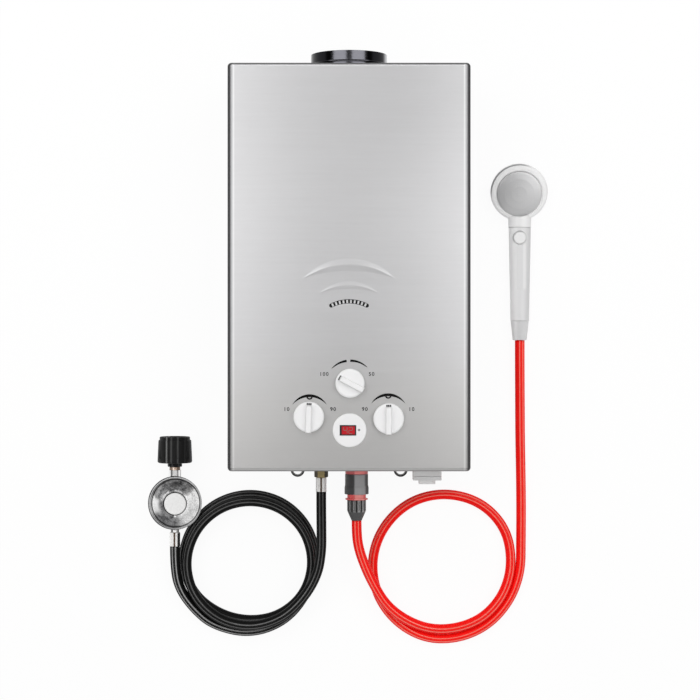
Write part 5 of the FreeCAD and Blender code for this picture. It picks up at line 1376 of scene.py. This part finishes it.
# %% Scales round the knobs
CRESCENT_HALF, CRESCENT_RISE, CRESCENT_THICK = 21.9 * MM, 13.4 * MM, 3.6 * MM
CRESCENT_STEPS = 40
RING_RADIUS, RING_HOLLOW, RING_UP = 4.2 * MM, 2.3 * MM, 0.9 * MM
RING_FROM, RING_TO, RING_STEPS = 100, 260, 20
GAS_CRESCENT = Vector((-50.3, -175.6)) * MM          # middle of the line between its two points
WATER_CRESCENT = Vector((49.9, -174.4)) * MM
SPLIT_RADIUS, SPLIT_THICK = 30.2 * MM, 3.1 * MM
SPLIT_ARCS = ((-8.5, -52.0), (0.5, 48.0))
SPLIT_STEPS = 24


def arc_over(foot, half_chord, rise):
    """The arc that stands on a chord, from its left end over the top to its right end."""
    radius = (half_chord ** 2 + rise ** 2) / (2 * rise)
    reach = math.degrees(math.asin(half_chord / radius))
    return list(arc((foot[0], foot[1] + rise - radius), radius, -reach, reach, CRESCENT_STEPS))


def side_scale(name, foot):
    """A crescent over a side knob, with a small half ring under its middle."""
    outer = arc_over(foot, CRESCENT_HALF, CRESCENT_RISE)
    inner = arc_over(foot, CRESCENT_HALF, CRESCENT_RISE - CRESCENT_THICK)
    crescent = outer + list(reversed(inner))[1:-1]
    ring_at = (foot.x, foot.y + CRESCENT_RISE - CRESCENT_THICK + RING_UP)
    ring = [*arc(ring_at, RING_RADIUS, RING_FROM, RING_TO, RING_STEPS),
            *arc(ring_at, RING_HOLLOW, RING_TO, RING_FROM, RING_STEPS)]
    add_print(name, flat_mesh(name, [crescent, ring], FACE), INK)


def split_scale(name, knob):
    """Two arcs over the upper knob, thick at the gap between them and fine at their far ends."""
    marks = []
    for start, end in SPLIT_ARCS:
        edge = list(arc(knob, SPLIT_RADIUS, start, end, SPLIT_STEPS))
        back = []
        for step in range(1, SPLIT_STEPS + 1):
            share = step / SPLIT_STEPS
            bearing = math.radians(end + (start - end) * share)
            radius = SPLIT_RADIUS - SPLIT_THICK * share ** 0.5
            back.append((knob.x + radius * math.sin(bearing), knob.y + radius * math.cos(bearing)))
        marks.append(edge + back)
    add_print(name, flat_mesh(name, marks, FACE), INK)


side_scale("gas_scale", GAS_CRESCENT)
side_scale("water_scale", WATER_CRESCENT)
split_scale("season_scale", SEASON_KNOB)
print("three scales printed")

# %% [markdown]
# ## Numbers
#
# Each scale ends in plain numbers, in percent. A text object with Blender's own font is the
# simplest way to figures, and its offset makes them bolder. Each is turned into a mesh at once.

# %% Numbers on the casing
NUMBER_HEIGHT = 6.6 * MM
NUMBER_BOLD = 0.12 * MM
NUMBER_SPACING = 1.25
NUMBERS = (("gas_low", "10", (-79.6, -181.3), INK), ("gas_high", "90", (-20.4, -181.3), INK),
           ("water_high", "90", (20.0, -181.3), INK), ("water_low", "10", (79.5, -181.3), INK),
           ("season_full", "100", (-31.9, -136.6), GREY_INK),
           ("season_half", "50", (28.6, -136.6), GREY_INK))


def number(name, text, spot, finish):
    """Plain figures on the casing, with their middle at spot, in millimetres."""
    words = bpy.data.curves.new(name, "FONT")
    words.body = text
    words.size = NUMBER_HEIGHT
    words.align_x = "CENTER"
    words.align_y = "CENTER"
    words.space_character = NUMBER_SPACING
    words.extrude = INK_THICK / 2
    words.offset = NUMBER_BOLD
    mesh = as_mesh(name + "_text", words)
    across, along = Vector(spot) * MM
    mesh.transform(Matrix.Translation((across, along, FACE + INK_THICK / 2)))
    mesh.materials.clear()
    add_print(name, mesh, finish)


for title, text, spot, ink in NUMBERS:
    number(title, text, spot, ink)
print(len(NUMBERS), "numbers printed")

# %% [markdown]
# ## Marks on the knobs
#
# Each knob has three short bars at its head, which point at the scale. They ride on the knob's own
# body, so they turn with it. The disc of the knob is lower than its grip, and the bars lie on the
# disc just beyond the grip's head.

# %% Knob marks
KNOB_DISC_TOP = FACE + 10.3 * MM
MARK_TALL, MARK_PITCH, MARK_WIDE = 3.2 * MM, 2.2 * MM, 1.8 * MM
# Each knob's body, the way its grip points in degrees, and how far out its bars lie.
KNOB_MARKS = (("gas_knob_mark", GAS_KNOB, "gas_control", -2.0, 16.2 * MM),
              ("water_knob_mark", WATER_KNOB, "water_control", 0.0, 16.2 * MM),
              ("season_knob_mark", SEASON_KNOB, "season_control", 62.0, 14.2 * MM))


def turned_outline(outline, centre, degrees):
    """An outline turned anticlockwise about a centre."""
    spin = Matrix.Rotation(math.radians(degrees), 2)
    return [Vector(centre) + spin @ (Vector(corner) - Vector(centre)) for corner in outline]


def bar(x0, x1, y0, y1):
    """An upright rectangle, as an outline."""
    return [(x0, y0), (x1, y0), (x1, y1), (x0, y1)]


def knob_mark(name, knob, body, pointing, reach):
    low, high = knob.y + reach - MARK_TALL / 2, knob.y + reach + MARK_TALL / 2
    bars = []
    for place in (-1, 0, 1):
        middle_x = knob.x + place * MARK_PITCH
        upright = bar(middle_x - MARK_WIDE / 2, middle_x + MARK_WIDE / 2, low, high)
        bars.append(turned_outline(upright, (knob.x, knob.y), pointing))
    add_print(name, flat_mesh(name, bars, KNOB_DISC_TOP), GREY_INK, body)


for mark in KNOB_MARKS:
    knob_mark(*mark)
print(len(KNOB_MARKS), "knob marks at", round(KNOB_DISC_TOP, 4))

# %% [markdown]
# ## The display
#
# The window has a dark printed frame and shows two figures of seven straight segments each. A font
# has no such figures, but they are easy to draw: a figure is a list of letters, each letter names
# the segment between two of six corners, and a segment is a bar with pointed ends. They are lit
# from behind, so their material gives off a little light. A degree ring stands beside the window on
# the white bezel.

# %% Figures of the display
LENS_LOW, LENS_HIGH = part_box("display_lens")
BEZEL_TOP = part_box("display_bezel")[1].z
THIN_INK = 0.6 * INK_THICK
FIGURE_TALL, FIGURE_WIDE, FIGURE_STEP = 8.0 * MM, 4.6 * MM, 6.8 * MM
STROKE, STROKE_INSET = 0.85 * MM, 0.62          # the second as a share of the first
SEGMENTS = {"a": (0, 2, 1, 2), "b": (1, 1, 1, 2), "c": (1, 0, 1, 1), "d": (0, 0, 1, 0),
            "e": (0, 0, 0, 1), "f": (0, 1, 0, 2), "g": (0, 1, 1, 1)}
FIGURES = {"4": "bcfg", "2": "abdeg"}


def lit_figures():
    lit = Finish("lit_figures", (0.16, 0.10, 0.09), 0.4, Emission_Strength=0.06,
                 Specular_IOR_Level=0.2)
    flicker = lit.noise(500.0)
    lit["Emission Color"] = lit.mix(flicker, (0.7, 0.42, 0.38), (0.9, 0.55, 0.5))
    return lit


def segment(corner, code):
    """One bar of a figure, with pointed ends, between two of the figure's six corners."""
    x0, y0, x1, y1 = SEGMENTS[code]
    start = Vector((corner[0] + x0 * FIGURE_WIDE, corner[1] + y0 * FIGURE_TALL / 2))
    end = Vector((corner[0] + x1 * FIGURE_WIDE, corner[1] + y1 * FIGURE_TALL / 2))
    run = (end - start).normalized()
    across = Vector((-run.y, run.x)) * STROKE / 2
    inset = run * STROKE * STROKE_INSET
    a, b = start + inset, end - inset
    return [a - run * STROKE / 2, a + across, b + across,
            b + run * STROKE / 2, b - across, a - across]


def display_figures(text):
    centre = middle("display_lens")
    first = centre.x - (FIGURE_STEP * (len(text) - 1) + FIGURE_WIDE) / 2
    bars = []
    for place, figure in enumerate(text):
        corner = (first + place * FIGURE_STEP, centre.y - FIGURE_TALL / 2)
        bars += [segment(corner, code) for code in FIGURES[figure]]
    mesh = flat_mesh("display_figures", bars, LENS_HIGH.z, THIN_INK)
    add_print("display_figures", mesh, lit_figures())


print("a figure is", FIGURE_TALL / MM, "mm tall")

# %% [markdown]
# The frame is four dark bars round the lens, the left one wider. An outline that is filled can't
# have a hole in its middle, so the degree ring is one band that all but closes at the top.

# %% Frame and degree ring
FRAME_LEFT, FRAME_RIGHT, FRAME_ENDS = 2.4, 1.5, 1.4           # widths in millimetres
DEGREE_AT = (DISPLAY.x + 12.0 * MM, DISPLAY.y + 0.5 * MM)
DEGREE_RADIUS, DEGREE_HOLLOW = 1.5 * MM, 0.7 * MM
DEGREE_END = 350                     # the ring stops 10 degrees short of its beginning


def display_frame():
    low = LENS_LOW + Vector((FRAME_LEFT, FRAME_ENDS, 0)) * MM
    high = LENS_HIGH - Vector((FRAME_RIGHT, FRAME_ENDS, 0)) * MM
    bars = [bar(LENS_LOW.x, low.x, LENS_LOW.y, LENS_HIGH.y),
            bar(high.x, LENS_HIGH.x, LENS_LOW.y, LENS_HIGH.y),
            bar(low.x, high.x, LENS_LOW.y, low.y),
            bar(low.x, high.x, high.y, LENS_HIGH.y)]
    add_print("display_frame", flat_mesh("display_frame", bars, LENS_HIGH.z, THIN_INK), GREY_INK)


def degree_ring():
    ring = [*arc(DEGREE_AT, DEGREE_RADIUS, 0, DEGREE_END, RING_STEPS),
            *arc(DEGREE_AT, DEGREE_HOLLOW, DEGREE_END, 0, RING_STEPS)]
    add_print("degree_ring", flat_mesh("degree_ring", [ring], BEZEL_TOP), GREY_INK)


display_frame()
display_figures("42")
degree_ring()
print("lens front at", round(LENS_HIGH.z, 4), "bezel front at", round(BEZEL_TOP, 4))

# %% [markdown]
# ## The floor
#
# The set lies on a plain white floor. A floor that is only lit never comes out quite white unless
# the lamps are so strong that the object clips too. So the floor also gives off light, but only to
# the camera and to reflections, which the Light Path node tells apart. It reads as white while it
# still shows a soft shadow.

# %% Floor
FLOOR_RADIUS = 30.0
FLOOR_SUNK = 0.1 * MM
FLOOR_GLOW = 0.93
SEEN_RAYS = ("Is Camera Ray", "Is Glossy Ray", "Is Transmission Ray")


def white_floor():
    finish = Finish("floor", grey(0.97), 0.9)
    rays, glossy, clear = [finish.node("LightPath", {}, {}, kind) for kind in SEEN_RAYS]
    glow = finish.node("Emission", {}, {"Color": grey(1.0), "Strength": 1.0})
    shown = rays.most(glossy).most(clear)
    lit = Wire(finish, finish.shader.outputs[0])
    surface = finish.node("MixShader", {}, {0: FLOOR_GLOW * shown, 1: lit, 2: glow})
    finish.plug(finish.tree.nodes["Material Output"].inputs["Surface"], surface)
    return finish


def add_floor():
    builder = bmesh.new()
    bmesh.ops.create_circle(builder, cap_ends=True, segments=96, radius=FLOOR_RADIUS)
    mesh = bpy.data.meshes.new("floor")
    builder.to_mesh(mesh)
    builder.free()
    mesh.materials.append(white_floor().material)
    floor = add_object("floor", mesh)
    floor.location.z = -FLOOR_SUNK


add_floor()
print("floor", FLOOR_RADIUS, "m")

# %% [markdown]
# ## The lamps
#
# Two large soft lamps hang to the left and right, with a dark gap between them, as a studio sets
# them for metal: the gap draws a dark line down the middle of each tube, and the lamps draw bright
# ones beside it. Each lamp is a rectangle between two X and two Y, and its light level is set so
# that a white card on the floor would come out as white as it is written. Both reach further
# towards +Y, which makes the steel a little darker at its foot, and a third one closes the gap far
# behind the flue.

# %% Lamps
LAMP_HEIGHT = 3.0
LAMP_INNER, LAMP_OUTER = 0.42, 3.2
LAMP_NEAR, LAMP_FAR = -0.50, 3.2
CROSS_FROM = 1.6
LAMP_RADIANCE = 2.15


def add_lamp(name, x0, x1, y0, y1):
    light = bpy.data.lights.new(name, "AREA")
    light.shape = "RECTANGLE"
    light.size = x1 - x0
    light.size_y = y1 - y0
    light.energy = LAMP_RADIANCE * math.pi * light.size * light.size_y
    lamp = add_object(name, light)
    lamp.location = ((x0 + x1) / 2, (y0 + y1) / 2, LAMP_HEIGHT)


add_lamp("left_lamp", -LAMP_OUTER, -LAMP_INNER, LAMP_NEAR, LAMP_FAR)
add_lamp("right_lamp", LAMP_INNER, LAMP_OUTER, LAMP_NEAR, LAMP_FAR)
add_lamp("cross_lamp", -LAMP_INNER, LAMP_INNER, CROSS_FROM, LAMP_FAR)
print("lamps from", LAMP_INNER, "to", LAMP_OUTER, "m each side")

# %% [markdown]
# ## The world
#
# The world is what the steel mirrors where no lamp hangs. It is dim above, where a studio's ceiling
# is dark, and pale near the horizon, where its walls stand. In front of the set, towards -Y, stands
# a grey card, which gives the rounded pieces a softer edge. All of it is told apart by the
# direction one looks in. The view transform is Standard, so that a colour renders as it is written.

# %% World
WALL_TOP, WALL_BLEND = 0.20, 0.10
WALL = grey(1.0)
CEILING = (0.11, 0.105, 0.10)
CARD = grey(0.60)
CARD_EDGE = (0.15, 0.27)


def add_world():
    world = bpy.data.worlds.new("studio")
    world.use_nodes = True
    sky = Network(world.node_tree)
    way = sky.node("TexCoord", {}, {}, "Generated")
    up = sky.part(way, "Z")
    forward = sky.part(way, "Y")
    above = sky.mix(sky.step(-forward, *CARD_EDGE), CEILING, CARD)
    colour = sky.mix(sky.step(up, WALL_TOP, WALL_TOP + WALL_BLEND), WALL, above)
    sky.plug(world.node_tree.nodes["Background"].inputs["Color"], colour)
    bpy.context.scene.world = world


add_world()
bpy.context.scene.view_settings.view_transform = "Standard"
print("walls up to", WALL_TOP, "of the way to the zenith")
